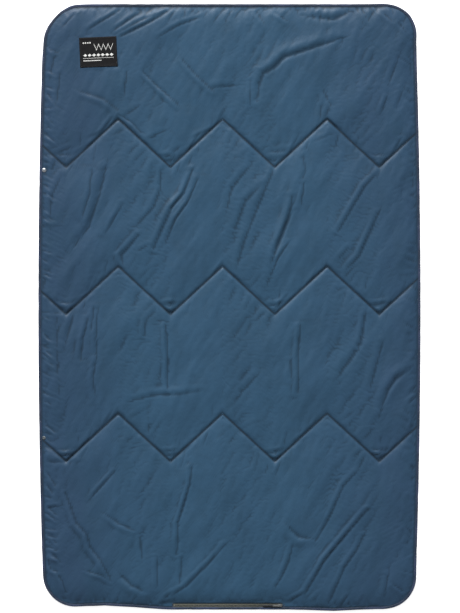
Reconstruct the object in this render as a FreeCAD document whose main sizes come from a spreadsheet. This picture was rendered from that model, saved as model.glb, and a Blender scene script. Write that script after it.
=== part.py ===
"""Quilted camp blanket: two cloths, a filling, a bound hem, a zipped pocket and two snaps.

It lies flat.  Origin: middle of the footprint, on the floor.  +X to the right, +Y towards the label
end, +Z up.  Millimetres.
"""
import math
import os

import FreeCAD
import Part
import Sketcher
from FreeCAD import Vector

doc = FreeCAD.newDocument("camp_blanket")

# ---------------------------------------------------------------- driving dimensions
SIZES = {
    # outline of the bound hem
    "blanket_length": 1800.0,
    "blanket_width": 1136.0,
    "side_bow_radius": 24000.0,
    "corner_radius": 100.0,
    # layers, from the floor up
    "underside_rise": 3.6,
    "cloth_thickness": 0.3,
    "core_thickness": 1.8,
    "puff_height": 7.7,
    "hem_margin": 26.0,
    "puff_slope": 34.0,
    "underside_slope": 20.0,
    # binding tape and thread
    "binding_thickness": 0.3,
    "binding_leg": 7.5,
    "binding_edge_radius": 0.9,
    "binding_seam_inset": 5.5,
    "thread_thickness": 0.5,
    # zigzag quilting: the flat and the slopes are measured along Y
    "zigzag_pitch": 310.0,
    "zigzag_height": 143.0,
    "zigzag_shift": -20.0,
    "row_spacing": 437.0,
    "row_centre_y": 49.0,
    "seam_flat": 4.4,
    "seam_slope": 40.0,
    # label
    "label_width": 111.0,
    "label_height": 89.0,
    "label_thickness": 0.6,
    "label_left_inset": 179.0,
    "label_top_inset": 144.0,
    "label_tilt": 2.5,
    "label_seam_inset": 3.0,
    "motif_relief": 0.15,
    "motif_diamond": 5.6,
    "motif_diamond_y": -9.0,
    "motif_pitch": 13.0,
    "motif_small_diamond": 3.0,
    "motif_small_left": -43.0,
    "motif_small_y": 28.0,
    "motif_small_pitch": 6.6,
    "motif_chevron_left": -12.0,
    "motif_chevron_run": 7.0,
    "motif_chevron_high": 23.0,
    "motif_chevron_low": 6.0,
    "motif_chevron_band": 3.6,
    "motif_bar": 1.4,
    "motif_bar_half": 45.0,
    "motif_bar_upper_y": -18.3,
    "motif_bar_lower_y": -25.7,
    "motif_short_bar_right": 8.0,
    # pocket zip, a fine coil
    "zip_length": 325.0,
    "zip_centre_x": -3.5,
    "zip_hem_inset": 13.0,
    "zip_window": 10.0,
    "zip_tape_width": 12.0,
    "zip_tape_thickness": 0.5,
    "zip_tape_overrun": 12.0,
    "coil_width": 4.4,
    "coil_split": 1.2,
    "coil_height": 1.7,
    "stop_length": 3.2,
    "bar_tack_width": 2.0,
    # slider and pull
    "slider_length": 11.5,
    "slider_width": 7.4,
    "slider_plate": 0.7,
    "slider_gap": 0.15,
    "flange_thickness": 0.8,
    "wedge_length": 3.5,
    "wedge_width": 0.8,
    "bail_width": 1.6,
    "bail_post": 1.0,
    "bail_bar": 0.7,
    "pivot_diameter": 1.2,
    "pull_thickness": 1.0,
    "pull_width": 5.0,
    "pull_length": 20.0,
    "pull_slot": 3.0,
    "pull_end_bar": 1.2,
    "ribbon_width": 3.8,
    "ribbon_length": 30.0,
    "ribbon_thickness": 0.5,
    # pocket bag
    "pocket_depth": 260.0,
    "pocket_seam": 8.0,
    # snaps
    "snap_hem_inset": 14.2,
    "snap_upper_y": 406.0,
    "snap_lower_y": -389.0,
    "cap_diameter": 12.4,
    "cap_height": 2.3,
    "cap_rim": 0.7,
    "cap_shoulder_inset": 0.9,
    "cap_shoulder_drop": 0.9,
    "cap_crown_inset": 2.5,
    "cap_crown_drop": 0.3,
    "cap_flat_inset": 4.3,
    "barrel_diameter": 3.6,
    "barrel_bore": 2.4,
    "rivet_gap": 0.05,
    "socket_diameter": 10.6,
    "socket_height": 2.6,
    "socket_web": 0.8,
    "socket_clearance": 0.1,
    "socket_lip": 1.2,
    "socket_crown_inset": 1.6,
    "socket_shoulder_inset": 1.1,
    "spring_sweep": 330.0,
    "spring_wire": 0.5,
    "stud_diameter": 10.4,
    "stud_flange": 0.8,
    "stud_wall": 0.4,
    "stud_lip": 0.5,
    "stud_groove": 1.1,
    "stud_height": 2.4,
    "post_diameter": 9.6,
    "post_flange": 0.8,
    "backing_diameter": 15.0,
    "backing_thickness": 0.4,
}

sheet = doc.addObject("Spreadsheet::Sheet", "sizes")
for row, (alias, value) in enumerate(SIZES.items(), start=1):
    sheet.set(f"A{row}", alias)
    sheet.set(f"B{row}", str(value))
    sheet.setAlias(f"B{row}", alias)
doc.recompute()


class Size:
    """A length that keeps both its formula on the sheet and its present value."""

    def __init__(self, text, value):
        self.text = text
        self.value = value

    @staticmethod
    def of(thing):
        return thing if isinstance(thing, Size) else Size(str(thing), thing)

    def __add__(self, other):
        other = Size.of(other)
        return Size(f"({self.text} + {other.text})", self.value + other.value)

    def __sub__(self, other):
        other = Size.of(other)
        return Size(f"({self.text} - {other.text})", self.value - other.value)

    def __mul__(self, other):
        other = Size.of(other)
        return Size(f"({self.text} * {other.text})", self.value * other.value)

    def __truediv__(self, other):
        other = Size.of(other)
        return Size(f"({self.text} / {other.text})", self.value / other.value)

    def __neg__(self):
        return Size(f"(0 - {self.text})", -self.value)

    def root(self):
        return Size(f"sqrt({self.text})", math.sqrt(self.value))


def size(alias):
    """A driving dimension of the sheet."""
    return Size("sizes." + alias, SIZES[alias])


NOTHING = Size("0", 0.0)
thread = size("thread_thickness")
cloth = size("cloth_thickness")

# Heights of the layers where they are sewn together, and of the puffed panels.
back_under = size("underside_rise")
core_floor = back_under + cloth
core_top = core_floor + size("core_thickness")
face_top = core_top + cloth
puff_top = face_top + size("puff_height")

# Half lengths of the outline.
half_length = size("blanket_length") / 2
half_width = size("blanket_width") / 2


# ---------------------------------------------------------------- ways of making
def place(thing, x=NOTHING, y=NOTHING, z=NOTHING):
    """Put an object where the sheet says."""
    for axis, at in zip("xyz", (x, y, z)):
        thing.setExpression("Placement.Base." + axis, Size.of(at).text)
    return thing


def block(name, low, high):
    """A box between two corners."""
    box = doc.addObject("Part::Box", name)
    for side, start, end in zip(("Length", "Width", "Height"), low, high):
        box.setExpression(side, (Size.of(end) - start).text)
    return place(box, *low)


def post(name, diameter, x, y, low, high):
    """An upright cylinder."""
    cylinder = doc.addObject("Part::Cylinder", name)
    cylinder.setExpression("Radius", (diameter / 2).text)
    cylinder.setExpression("Height", (high - low).text)
    return place(cylinder, x, y, low)


def plate(name, sketch, thickness):
    """A sketch raised into a plate."""
    solid = doc.addObject("Part::Extrusion", name)
    solid.Base = sketch
    solid.DirMode = "Custom"
    solid.Dir = Vector(0, 0, 1)
    solid.Solid = True
    solid.setExpression("LengthFwd", thickness.text)
    return solid


def slope(name, lower, upper):
    """A straight-sided solid between two sketches."""
    solid = doc.addObject("Part::Loft", name)
    solid.Sections = [lower, upper]
    solid.Solid = True
    solid.Ruled = True
    return solid


def cut(name, base, tool):
    solid = doc.addObject("Part::Cut", name)
    solid.Base = base
    solid.Tool = tool
    return solid


def joined(name, *shapes):
    solid = doc.addObject("Part::MultiFuse", name)
    solid.Shapes = list(shapes)
    return solid


def shared(name, *shapes):
    solid = doc.addObject("Part::MultiCommon", name)
    solid.Shapes = list(shapes)
    return solid


def group(name, *shapes):
    """Several separate solids that make one sub-part."""
    gathered = doc.addObject("Part::Compound", name)
    gathered.Links = list(shapes)
    return gathered


def moved(name, shape, x=NOTHING, y=NOTHING, z=NOTHING):
    """The same shape somewhere else."""
    return place(group(name, shape), x, y, z)


def new_sketch(name, height):
    """An empty sketch parallel to the floor."""
    return place(doc.addObject("Sketcher::SketchObject", name), z=height)


def drive(sketch, kind, *arguments):
    """Add a dimension whose last argument is a Size from the sheet."""
    length = arguments[-1]
    index = sketch.addConstraint(Sketcher.Constraint(kind, *arguments[:-1], length.value))
    sketch.setExpression(f"Constraints[{index}]", length.text)


def pin_point(sketch, edge, end, x, y):
    """Hold a point of a sketch at a place measured from the sketch's origin."""
    for kind, at in (("DistanceX", x), ("DistanceY", y)):
        drive(sketch, kind, -1, 1, edge, end, Size.of(at))


def polygon(sketch, corners):
    """A closed straight-sided outline whose corners are held by sizes."""
    following = corners[1:] + corners[:1]
    for (x, y), (next_x, next_y) in zip(corners, following):
        start = Vector(Size.of(x).value, Size.of(y).value, 0)
        end = Vector(Size.of(next_x).value, Size.of(next_y).value, 0)
        sketch.addGeometry(Part.LineSegment(start, end), False)
    for index, (x, y) in enumerate(corners):
        following_edge = (index + 1) % len(corners)
        sketch.addConstraint(Sketcher.Constraint("Coincident", index, 2, following_edge, 1))
        pin_point(sketch, index, 1, x, y)
    return sketch


def outline(name, inset, height):
    """The blanket's outline, moved inwards: straight ends, bowed sides and round corners."""
    inset = Size.of(inset)
    sketch = new_sketch(name, height)
    end_y = half_length - inset
    corner = size("corner_radius") - inset
    bow = size("side_bow_radius") - inset
    bow_centre = half_width - size("side_bow_radius")
    corner_y = end_y - corner
    corner_x = bow_centre + ((bow - corner) * (bow - corner) - corner_y * corner_y).root()
    turn = math.atan2(corner_y.value, (corner_x - bow_centre).value)
    up = Vector(0, 0, 1)

    def arc(x, y, radius, first, last):
        return Part.ArcOfCircle(Part.Circle(Vector(x, y, 0), up, radius), first, last)

    cx, cy, r = corner_x.value, corner_y.value, corner.value
    bx, big, ey = bow_centre.value, bow.value, end_y.value
    quarter = math.pi / 2
    # counter-clockwise from the right side
    sketch.addGeometry([
        arc(bx, 0, big, -turn, turn),
        arc(cx, cy, r, turn, quarter),
        Part.LineSegment(Vector(cx, ey, 0), Vector(-cx, ey, 0)),
        arc(-cx, cy, r, quarter, math.pi - turn),
        arc(-bx, 0, big, math.pi - turn, math.pi + turn),
        arc(-cx, -cy, r, math.pi + turn, 3 * quarter),
        Part.LineSegment(Vector(-cx, -ey, 0), Vector(cx, -ey, 0)),
        arc(cx, -cy, r, -quarter, -turn),
    ], False)
    for index in range(8):
        sketch.addConstraint(Sketcher.Constraint("Tangent", index, 2, (index + 1) % 8, 1))
    for index, sign in ((0, 1), (4, -1)):
        drive(sketch, "Radius", index, bow)
        pin_point(sketch, index, 3, bow_centre * sign, NOTHING)
    for index in (1, 3, 5, 7):
        drive(sketch, "Radius", index, corner)
    for index, sign in ((2, 1), (6, -1)):
        sketch.addConstraint(Sketcher.Constraint("Horizontal", index))
        drive(sketch, "DistanceY", -1, 1, index, 1, end_y * sign)
    return sketch


# ---------------------------------------------------------------- the zigzag rows
half_pitch = size("zigzag_pitch") / 2
half_rise = size("zigzag_height") / 2
zigzag_steps = math.ceil((half_width.value + abs(SIZES["zigzag_shift"]) + 10) / half_pitch.value)
ROWS = {"upper": 1, "middle": 0, "lower": -1}


def row_y(row):
    return size("row_centre_y") + size("row_spacing") * ROWS[row]


def strip(middle, half_band):
    """The corners of a band that runs along a line of points, its width measured along Y."""
    return [(x, y - half_band) for x, y in middle] + [(x, y + half_band) for x, y in reversed(middle)]


def zigzag_band(name, half_band, height):
    """A zigzag strip about the X axis that runs out past both sides of the blanket."""
    steps = range(-zigzag_steps, zigzag_steps + 1)
    # a peak stands at every even step
    middle = [
        (size("zigzag_shift") + half_pitch * step, half_rise * (1 if step % 2 == 0 else -1))
        for step in steps
    ]
    return polygon(new_sketch(name, height), strip(middle, half_band))


def seam_cutters(side, floor, tip):
    """What the three rows press out of one side of the quilt."""
    flat = size("seam_flat") / 2
    narrow = zigzag_band(f"{side}_seam_flat", flat, floor)
    wide = zigzag_band(f"{side}_seam_wide", flat + size("seam_slope"), tip)
    cutter = slope(f"{side}_seam_cutter", narrow, wide)
    return [moved(f"{side}_seam_{row}", cutter, y=row_y(row)) for row in ROWS]


# ---------------------------------------------------------------- the quilt's two skins
layer_inset = size("binding_thickness")
margin = size("hem_margin")
spare = Size("1", 1.0)


def skin_space(side, floor, tip, slope_run, core_low, core_high, reach):
    """All the room on one side of a skin: the sewn plane and the puffs that stand on it."""
    base = outline(f"{side}_puff_base", margin, floor)
    crown = outline(f"{side}_puff_crown", margin + slope_run, tip)
    puffs = slope(f"{side}_puffs", base, crown)
    for number, cutter in enumerate(seam_cutters(side, floor, reach)):
        puffs = cut(f"{side}_puffs_{number}", puffs, cutter)
    core_edge = outline(f"{side}_core_edge", layer_inset, core_low)
    core = plate(f"{side}_core", core_edge, core_high - core_low)
    return joined(f"{side}_space", core, puffs)


upper_space = skin_space(
    "upper", face_top, puff_top, size("puff_slope"), -spare, face_top, puff_top + spare)
lower_space = skin_space(
    "lower", back_under, NOTHING, size("underside_slope"), back_under, puff_top + spare, -spare)


def below_face(name, depth):
    """The room under the face cloth's upper surface, lowered by a depth."""
    return moved(name, upper_space, z=-depth)


under_face = below_face("under_face", cloth)
over_back = moved("over_back", lower_space, z=cloth)

# ---------------------------------------------------------------- where the zip lies
zip_y = size("zip_hem_inset") - half_length
zip_left = size("zip_centre_x") - size("zip_length") / 2
zip_right = size("zip_centre_x") + size("zip_length") / 2
window_half = size("zip_window") / 2
overrun = size("zip_tape_overrun")
tape = size("zip_tape_thickness")
tape_outer = size("zip_tape_width")
tape_low = core_top - tape
hem_edge = layer_inset - half_length
recess_side = overrun + thread

zip_window = block(
    "zip_window",
    (zip_left, zip_y - window_half, -spare),
    (zip_right, zip_y + window_half, puff_top + spare))
# the filling is trimmed back behind the tapes
zip_recess = block(
    "zip_recess",
    (zip_left - recess_side, hem_edge - spare, core_floor),
    (zip_right + recess_side, zip_y + tape_outer + thread, core_top))

# ---------------------------------------------------------------- where the snaps sit
barrel = size("barrel_diameter")
rivet_gap = size("rivet_gap")
backing = size("backing_thickness")


def hem_x(y):
    """X of the left hem at a height Y along the blanket."""
    radius = size("side_bow_radius")
    return radius - half_width - (radius * radius - y * y).root()


SNAPS = {"upper": size("snap_upper_y"), "lower": size("snap_lower_y")}
snap_at = {which: (hem_x(y) + size("snap_hem_inset"), y) for which, y in SNAPS.items()}
snap_holes = [
    post(f"snap_hole_{which}", barrel + rivet_gap * 2, x, y, -spare, puff_top)
    for which, (x, y) in snap_at.items()
]

sub_parts = []


def sub_part(solid, label):
    """Give a finished sub-part its own label."""
    solid.Label = label
    sub_parts.append(solid)
    return solid


# ---------------------------------------------------------------- reinforcement discs
backing_discs = {}
for which, (x, y) in snap_at.items():
    disc = post(f"disc_{which}", size("backing_diameter"), x, y, core_top - backing, core_top)
    hole = post(f"disc_hole_{which}", barrel + rivet_gap * 2, x, y, core_floor, face_top)
    backing_discs[which] = sub_part(cut(f"disc_ring_{which}", disc, hole), f"snap_backing_{which}")

# ---------------------------------------------------------------- pocket bag
pocket_side = size("pocket_seam")
pocket_left = zip_left - pocket_side
pocket_right = zip_right + pocket_side
pocket_top = size("pocket_depth") - half_length
tape_hem_edge = zip_y - tape_outer
mouth_y = zip_y + window_half + thread
front_depth = cloth + tape
back_depth = size("core_thickness")

pocket_prism = block(
    "pocket_prism", (pocket_left, tape_hem_edge, -spare), (pocket_right, pocket_top, puff_top))
front_prism = block(
    "front_prism", (pocket_left, mouth_y, -spare), (pocket_right, pocket_top, puff_top))
inner_prism = block(
    "inner_prism",
    (zip_left, mouth_y - spare, -spare),
    (zip_right, pocket_top - pocket_side, puff_top))

# back panel: one layer of cloth on the filling
above_back_panel = below_face("above_back_panel", back_depth)
under_back_panel = below_face("under_back_panel", back_depth + cloth)
back_layer = cut("back_layer", above_back_panel, under_back_panel)
sub_part(shared("pocket_back", back_layer, pocket_prism), "pocket_back_panel")

# front panel: its turned seam allowance reaches down to the back panel on three sides
above_front_panel = below_face("above_front_panel", front_depth)
under_front_panel = below_face("under_front_panel", front_depth + cloth)
front_body = shared("front_body", cut("front_layer", above_front_panel, above_back_panel), front_prism)
front_hollow = shared("front_hollow", under_front_panel, inner_prism)
sub_part(cut("pocket_front", front_body, front_hollow), "pocket_front_panel")

# the seam that closes the bag, sewn on the allowance just under the face cloth
seam_x = pocket_side / 2
seam_outer = block(
    "pocket_seam_outer",
    (pocket_left + seam_x - thread / 2, mouth_y + margin, -spare),
    (pocket_right - seam_x + thread / 2, pocket_top - seam_x + thread / 2, puff_top))
seam_inner = block(
    "pocket_seam_inner",
    (pocket_left + seam_x + thread / 2, mouth_y, -spare),
    (pocket_right - seam_x - thread / 2, pocket_top - seam_x - thread / 2, puff_top))
seam_layer = cut("pocket_seam_layer", under_face, above_front_panel)
seam_ring = cut("pocket_seam_ring", seam_outer, seam_inner)
sub_part(shared("pocket_seam_thread", seam_layer, seam_ring), "pocket_stitching")

# ---------------------------------------------------------------- insulation
filling = shared("filling_block", under_face, over_back)
pocket_room = cut("pocket_room", pocket_prism, under_back_panel)
filling = cut("filling_under_pocket", filling, pocket_room)
filling = cut("filling_behind_zip", filling, zip_recess)
disc_rooms = [
    post(f"disc_room_{which}", size("backing_diameter"), x, y, core_top - backing, face_top)
    for which, (x, y) in snap_at.items()
]
filling = cut("filling_at_snaps", filling, joined("filling_holes", *snap_holes, *disc_rooms))
sub_part(filling, "insulation_batt")

# ---------------------------------------------------------------- cloths
holes = joined("snap_holes", *snap_holes)
face = cut("face_sheet", upper_space, under_face)
face = cut("face_with_window", face, zip_window)
sub_part(cut("face_with_holes", face, holes), "face_fabric")
back = cut("back_sheet", lower_space, over_back)
sub_part(cut("back_with_holes", back, holes), "back_fabric")

# ---------------------------------------------------------------- binding
leg = size("binding_leg")
binding_low = back_under - layer_inset
binding_high = face_top + layer_inset
binding_edge = outline("binding_edge", NOTHING, binding_low)
binding_blank = plate("binding_blank", binding_edge, binding_high - binding_low)
doc.recompute()
binding_round = doc.addObject("Part::Fillet", "binding_round")
binding_round.Base = binding_blank
fold_radius = SIZES["binding_edge_radius"]
flat_edges = [
    (index, fold_radius, fold_radius)
    for index, edge in enumerate(binding_blank.Shape.Edges, start=1)
    if edge.BoundBox.ZLength < 0.01
]
binding_round.Edges = flat_edges
binding_open = plate("binding_open", outline("binding_leg_edge", leg, -spare), puff_top)
binding_fold = outline("binding_fold", layer_inset, back_under)
binding_slot = plate("binding_slot", binding_fold, face_top - back_under)
binding_tools = joined("binding_tools", binding_open, binding_slot)
sub_part(cut("binding", binding_round, binding_tools), "edge_binding")

# one line of stitches on each side of the tape
seam_inset = size("binding_seam_inset")


def binding_seam(side, low):
    outer = plate(f"{side}_seam_out", outline(f"{side}_seam_out_edge", seam_inset, low), thread)
    inner = plate(f"{side}_seam_in", outline(f"{side}_seam_in_edge", seam_inset + thread, low), thread)
    return cut(f"{side}_binding_seam", outer, inner)


seams = binding_seam("face", binding_high), binding_seam("back", binding_low - thread)
sub_part(group("binding_seams", *seams), "binding_stitching")

# ---------------------------------------------------------------- quilting threads
quilt_edge = outline("quilt_edge", leg + thread, -spare)
quilt_prism = plate("quilt_prism", quilt_edge, puff_top)
for row in ROWS:
    lines = []
    for side, low in (("face", face_top), ("back", back_under - thread)):
        band = zigzag_band(f"{row}_{side}_line", thread / 2, low)
        line = moved(f"{row}_{side}_thread", plate(f"{row}_{side}_bar", band, thread), y=row_y(row))
        lines.append(shared(f"{row}_{side}_trimmed", line, quilt_prism))
    sub_part(group(f"{row}_threads", *lines), f"quilting_{row}")

# ---------------------------------------------------------------- label
label_w = size("label_width") / 2
label_h = size("label_height") / 2
label_t = size("label_thickness")


def set_label(shape, label):
    """Turn and place what belongs to the label about the label's middle."""
    place(shape, size("label_left_inset") - half_width, half_length - size("label_top_inset"), puff_top)
    shape.Placement.Rotation = FreeCAD.Rotation(Vector(0, 0, 1), SIZES["label_tilt"])
    shape.setExpression("Placement.Rotation.Angle", "sizes.label_tilt")
    return sub_part(shape, label)


patch = block("patch", (-label_w, -label_h, NOTHING), (label_w, label_h, label_t))
set_label(group("patch_set", patch), "label_patch")

# a woven pattern: a band of diamonds over two bars, with a chevron line and small diamonds above
relief = size("motif_relief")
motif_top = label_t + relief
motif = []


def woven_shape(name, corners):
    motif.append(plate(name + "_solid", polygon(new_sketch(name, label_t), corners), relief))


def woven_diamond(name, x, y, half):
    woven_shape(name, [(x + half, y), (x, y + half), (x - half, y), (x, y - half)])


for number in range(-3, 4):
    at = size("motif_pitch") * number
    woven_diamond(f"diamond_{number + 3}", at, size("motif_diamond_y"), size("motif_diamond"))
for number in range(4):
    at = size("motif_small_left") + size("motif_small_pitch") * number
    woven_diamond(f"small_diamond_{number}", at, size("motif_small_y"), size("motif_small_diamond"))
chevron = [
    (size("motif_chevron_left") + size("motif_chevron_run") * step,
     size("motif_chevron_low") if step % 2 else size("motif_chevron_high"))
    for step in range(9)
]
woven_shape("chevron", strip(chevron, size("motif_chevron_band") / 2))
bar = size("motif_bar")
for name, low, right in (
    ("upper", size("motif_bar_upper_y"), size("motif_bar_half")),
    ("lower", size("motif_bar_lower_y"), size("motif_short_bar_right")),
):
    left = -size("motif_bar_half")
    motif.append(block(f"motif_bar_{name}", (left, low, label_t), (right, low + bar, motif_top)))
set_label(group("motif_set", *motif), "label_motif")

in_x = label_w - size("label_seam_inset")
in_y = label_h - size("label_seam_inset")
ring_out = block("label_seam_out", (-in_x, -in_y, label_t), (in_x, in_y, label_t + thread))
ring_in = block(
    "label_seam_in",
    (thread - in_x, thread - in_y, NOTHING),
    (in_x - thread, in_y - thread, label_t + thread * 2))
set_label(group("label_seam_set", cut("label_seam", ring_out, ring_in)), "label_stitching")

# ---------------------------------------------------------------- zip
split = size("coil_split") / 2
coil_outer = size("coil_width") / 2
coil_top = core_top + size("coil_height")
stop = size("stop_length")
end_gap = thread * 2
coil_left = zip_left + end_gap + stop
coil_right = zip_right - end_gap - stop

for which, sign in (("upper", 1), ("lower", -1)):
    near, far = (split, tape_outer) if sign > 0 else (-tape_outer, -split)
    sub_part(block(
        f"tape_{which}",
        (zip_left - overrun, zip_y + near, tape_low),
        (zip_right + overrun, zip_y + far, core_top)), f"zip_tape_{which}")
    near, far = (split, coil_outer) if sign > 0 else (-coil_outer, -split)
    sub_part(block(
        f"coil_{which}",
        (coil_left, zip_y + near, core_top),
        (coil_right, zip_y + far, coil_top)), f"zip_coil_{which}")

sub_part(block(
    "open_stop",
    (zip_left + end_gap, zip_y - coil_outer, core_top),
    (coil_left, zip_y + coil_outer, coil_top)), "zip_stop_open_end")
closed_stops = [
    block(f"closed_stop_{name}", (coil_right, zip_y + near, core_top),
          (zip_right - end_gap, zip_y + far, coil_top))
    for name, near, far in (("upper", split, coil_outer), ("lower", -coil_outer, -split))
]
sub_part(group("closed_stops", *closed_stops), "zip_stop_closed_end")

# seam round the window on three sides, the fourth is the binding's own seam
zip_seam_gap = thread * 3
seam_top_y = zip_y + window_half + zip_seam_gap
seam_low_y = zip_y - window_half
thread_top = face_top + thread
zip_seam = joined(
    "zip_seam",
    block("zip_seam_left",
          (zip_left - zip_seam_gap - thread, seam_low_y, face_top),
          (zip_left - zip_seam_gap, seam_top_y, thread_top)),
    block("zip_seam_right",
          (zip_right + zip_seam_gap, seam_low_y, face_top),
          (zip_right + zip_seam_gap + thread, seam_top_y, thread_top)),
    block("zip_seam_top",
          (zip_left - zip_seam_gap - thread, seam_top_y, face_top),
          (zip_right + zip_seam_gap + thread, seam_top_y + thread, thread_top)))
sub_part(zip_seam, "zip_stitching")

tack = size("bar_tack_width")
tack_gap = zip_seam_gap + thread * 2
tack_half = window_half - thread
tacks = [
    block(f"tack_{name}", (low, zip_y - tack_half, face_top), (low + tack, zip_y + tack_half, thread_top))
    for name, low in (("left", zip_left - tack_gap - tack), ("right", zip_right + tack_gap))
]
sub_part(group("tacks", *tacks), "zip_bar_tacks")

# ---------------------------------------------------------------- slider
gap = size("slider_gap")
slider_right = coil_right - gap
slider_left = slider_right - size("slider_length")
slider_half = size("slider_width") / 2
slider_mid = (slider_left + slider_right) / 2
foot_low = core_floor + cloth + gap
foot_high = tape_low - gap
top_low = coil_top + gap
top_high = top_low + size("slider_plate")
flange = size("flange_thickness")


def slider_shape(name, height):
    """Plan of a slider plate: wide shoulders at the right, narrower where the coil leaves."""
    narrow = slider_half - flange / 2
    shoulder = slider_right - flange
    corners = [
        (slider_left, zip_y - narrow), (slider_mid, zip_y - slider_half),
        (shoulder, zip_y - slider_half), (slider_right, zip_y - narrow),
        (slider_right, zip_y + narrow), (shoulder, zip_y + slider_half),
        (slider_mid, zip_y + slider_half), (slider_left, zip_y + narrow),
    ]
    return polygon(new_sketch(name, height), corners)


foot = plate("slider_foot", slider_shape("slider_foot_shape", foot_low), foot_high - foot_low)
crown = plate("slider_crown", slider_shape("slider_crown_shape", top_low), top_high - top_low)
wedge = block(
    "slider_wedge",
    (slider_right - size("wedge_length"), zip_y - size("wedge_width") / 2, foot_low),
    (slider_right - flange / 2, zip_y + size("wedge_width") / 2, top_high))
flange_inner = coil_outer + gap * 2
skirt_low = core_top + gap * 2
skirt = plate("slider_skirt", slider_shape("slider_skirt_shape", skirt_low), top_high - skirt_low)
tunnel = block(
    "slider_tunnel",
    (slider_left - spare, zip_y - flange_inner, core_top),
    (slider_right + spare, zip_y + flange_inner, top_low))
flanges = cut("slider_flanges", skirt, tunnel)

# the bail: a low arch that holds the pull
pivot = size("pivot_diameter") / 2
pivot_z = top_high + gap + pivot
bail_half = size("bail_width") / 2
bail_inner = pivot + gap * 2
bail_outer = bail_inner + size("bail_post")
bail_low = pivot_z + pivot + gap
bail_high = bail_low + size("bail_bar")
arch = block(
    "bail_arch",
    (slider_mid - bail_outer, zip_y - bail_half, top_low),
    (slider_mid + bail_outer, zip_y + bail_half, bail_high))
arch_opening = block(
    "bail_opening",
    (slider_mid - bail_inner, zip_y - bail_half - spare, top_high),
    (slider_mid + bail_inner, zip_y + bail_half + spare, bail_low))
bail = cut("bail", arch, arch_opening)
sub_part(joined("slider", foot, crown, wedge, flanges, bail), "zip_slider")

# ---------------------------------------------------------------- pull and its ribbon
pull_half = size("pull_width") / 2
pull_t = size("pull_thickness") / 2
arm_inner = bail_half + gap * 2
pull_end = slider_mid - size("pull_length")
tab = block(
    "pull_tab",
    (pull_end, zip_y - pull_half, pivot_z - pull_t),
    (slider_mid + pivot, zip_y + pull_half, pivot_z + pull_t))
tab_slot = block(
    "pull_slot",
    (slider_mid - size("pull_slot"), zip_y - arm_inner, pivot_z - spare),
    (slider_mid + pivot + spare, zip_y + arm_inner, pivot_z + spare))
end_bar = size("pull_end_bar")
eye_length = size("ribbon_thickness") + gap * 2
eye_half = size("ribbon_width") / 2 + gap
eye = block(
    "pull_eye",
    (pull_end + end_bar, zip_y - eye_half, pivot_z - spare),
    (pull_end + end_bar + eye_length, zip_y + eye_half, pivot_z + spare))
cross = doc.addObject("Part::Cylinder", "pull_cross")
cross.setExpression("Radius", pivot.text)
cross.setExpression("Height", (pull_half * 2).text)
cross.Placement.Rotation = FreeCAD.Rotation(Vector(1, 0, 0), -90)
place(cross, slider_mid, zip_y - pull_half, pivot_z)
tab_cut = cut("pull_opened", tab, joined("pull_openings", tab_slot, eye))
sub_part(joined("pull", tab_cut, cross), "zip_pull")

ribbon_t = size("ribbon_thickness")
ribbon_half = size("ribbon_width") / 2
ribbon_near = pull_end + end_bar + eye_length - gap
ribbon_far = pull_end - size("ribbon_length")
ribbon_out = block(
    "ribbon_out",
    (ribbon_far, zip_y - ribbon_half, pivot_z - pull_t - ribbon_t),
    (ribbon_near, zip_y + ribbon_half, pivot_z + pull_t + ribbon_t))
ribbon_in = block(
    "ribbon_in",
    (ribbon_far + ribbon_t, zip_y - ribbon_half - spare, pivot_z - pull_t),
    (ribbon_near - ribbon_t, zip_y + ribbon_half + spare, pivot_z + pull_t))
sub_part(cut("ribbon", ribbon_out, ribbon_in), "pull_ribbon")


# ---------------------------------------------------------------- snaps
def turned(name, which, profile):
    """A part turned about a snap's axis, from (radius, height) corners of its half section."""
    body = doc.addObject("PartDesign::Body", name)
    sketch = body.newObject("Sketcher::SketchObject", name + "_section")
    planes = {feature.Role: feature for feature in body.Origin.OriginFeatures}
    sketch.AttachmentSupport = [(planes["XZ_Plane"], "")]
    sketch.MapMode = "FlatFace"
    polygon(sketch, profile)
    spin = body.newObject("PartDesign::Revolution", name + "_turned")
    spin.Profile = sketch
    spin.ReferenceAxis = (sketch, ["V_Axis"])
    spin.Angle = 360
    body.Tip = spin
    x, y = snap_at[which]
    place(body, x, y, NOTHING)
    return body


barrel_r = barrel / 2
cap_r = size("cap_diameter") / 2
cap_rim = size("cap_rim")
cap_top = face_top + size("cap_height")
rivet_end = back_under - size("socket_web")
cap_profile = [
    (NOTHING, rivet_end), (barrel_r, rivet_end), (barrel_r, face_top), (cap_r, face_top),
    (cap_r, face_top + cap_rim),
    (cap_r - size("cap_shoulder_inset"), cap_top - size("cap_shoulder_drop")),
    (cap_r - size("cap_crown_inset"), cap_top - size("cap_crown_drop")),
    (cap_r - size("cap_flat_inset"), cap_top), (NOTHING, cap_top),
]
sub_part(turned("cap", "upper", cap_profile), "snap_cap")

socket_r = size("socket_diameter") / 2
socket_low = back_under - size("socket_height")
barrel_fit = barrel_r + rivet_gap
neck_r = barrel_fit + size("stud_wall")
bore_r = neck_r + size("socket_clearance")
wire = size("spring_wire")
lip_top = socket_low + size("socket_lip")
web_low = rivet_end
socket_profile = [
    (bore_r, socket_low), (socket_r - size("socket_crown_inset"), socket_low),
    (socket_r - size("socket_shoulder_inset"), socket_low + wire),
    (socket_r, back_under - wire), (socket_r, back_under), (barrel_fit, back_under),
    (barrel_fit, web_low), (bore_r + wire + rivet_gap, web_low),
    (bore_r + wire + rivet_gap, lip_top), (bore_r, lip_top),
]
sub_part(turned("socket", "upper", socket_profile), "snap_socket")

spring = doc.addObject("Part::Torus", "spring")
spring.setExpression("Radius1", (bore_r + wire / 2).text)
spring.setExpression("Radius2", (wire / 2 - rivet_gap / 2).text)
spring.setExpression("Angle3", size("spring_sweep").text)
place(spring, *snap_at["upper"], lip_top + wire / 2)
sub_part(spring, "socket_spring")

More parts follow.
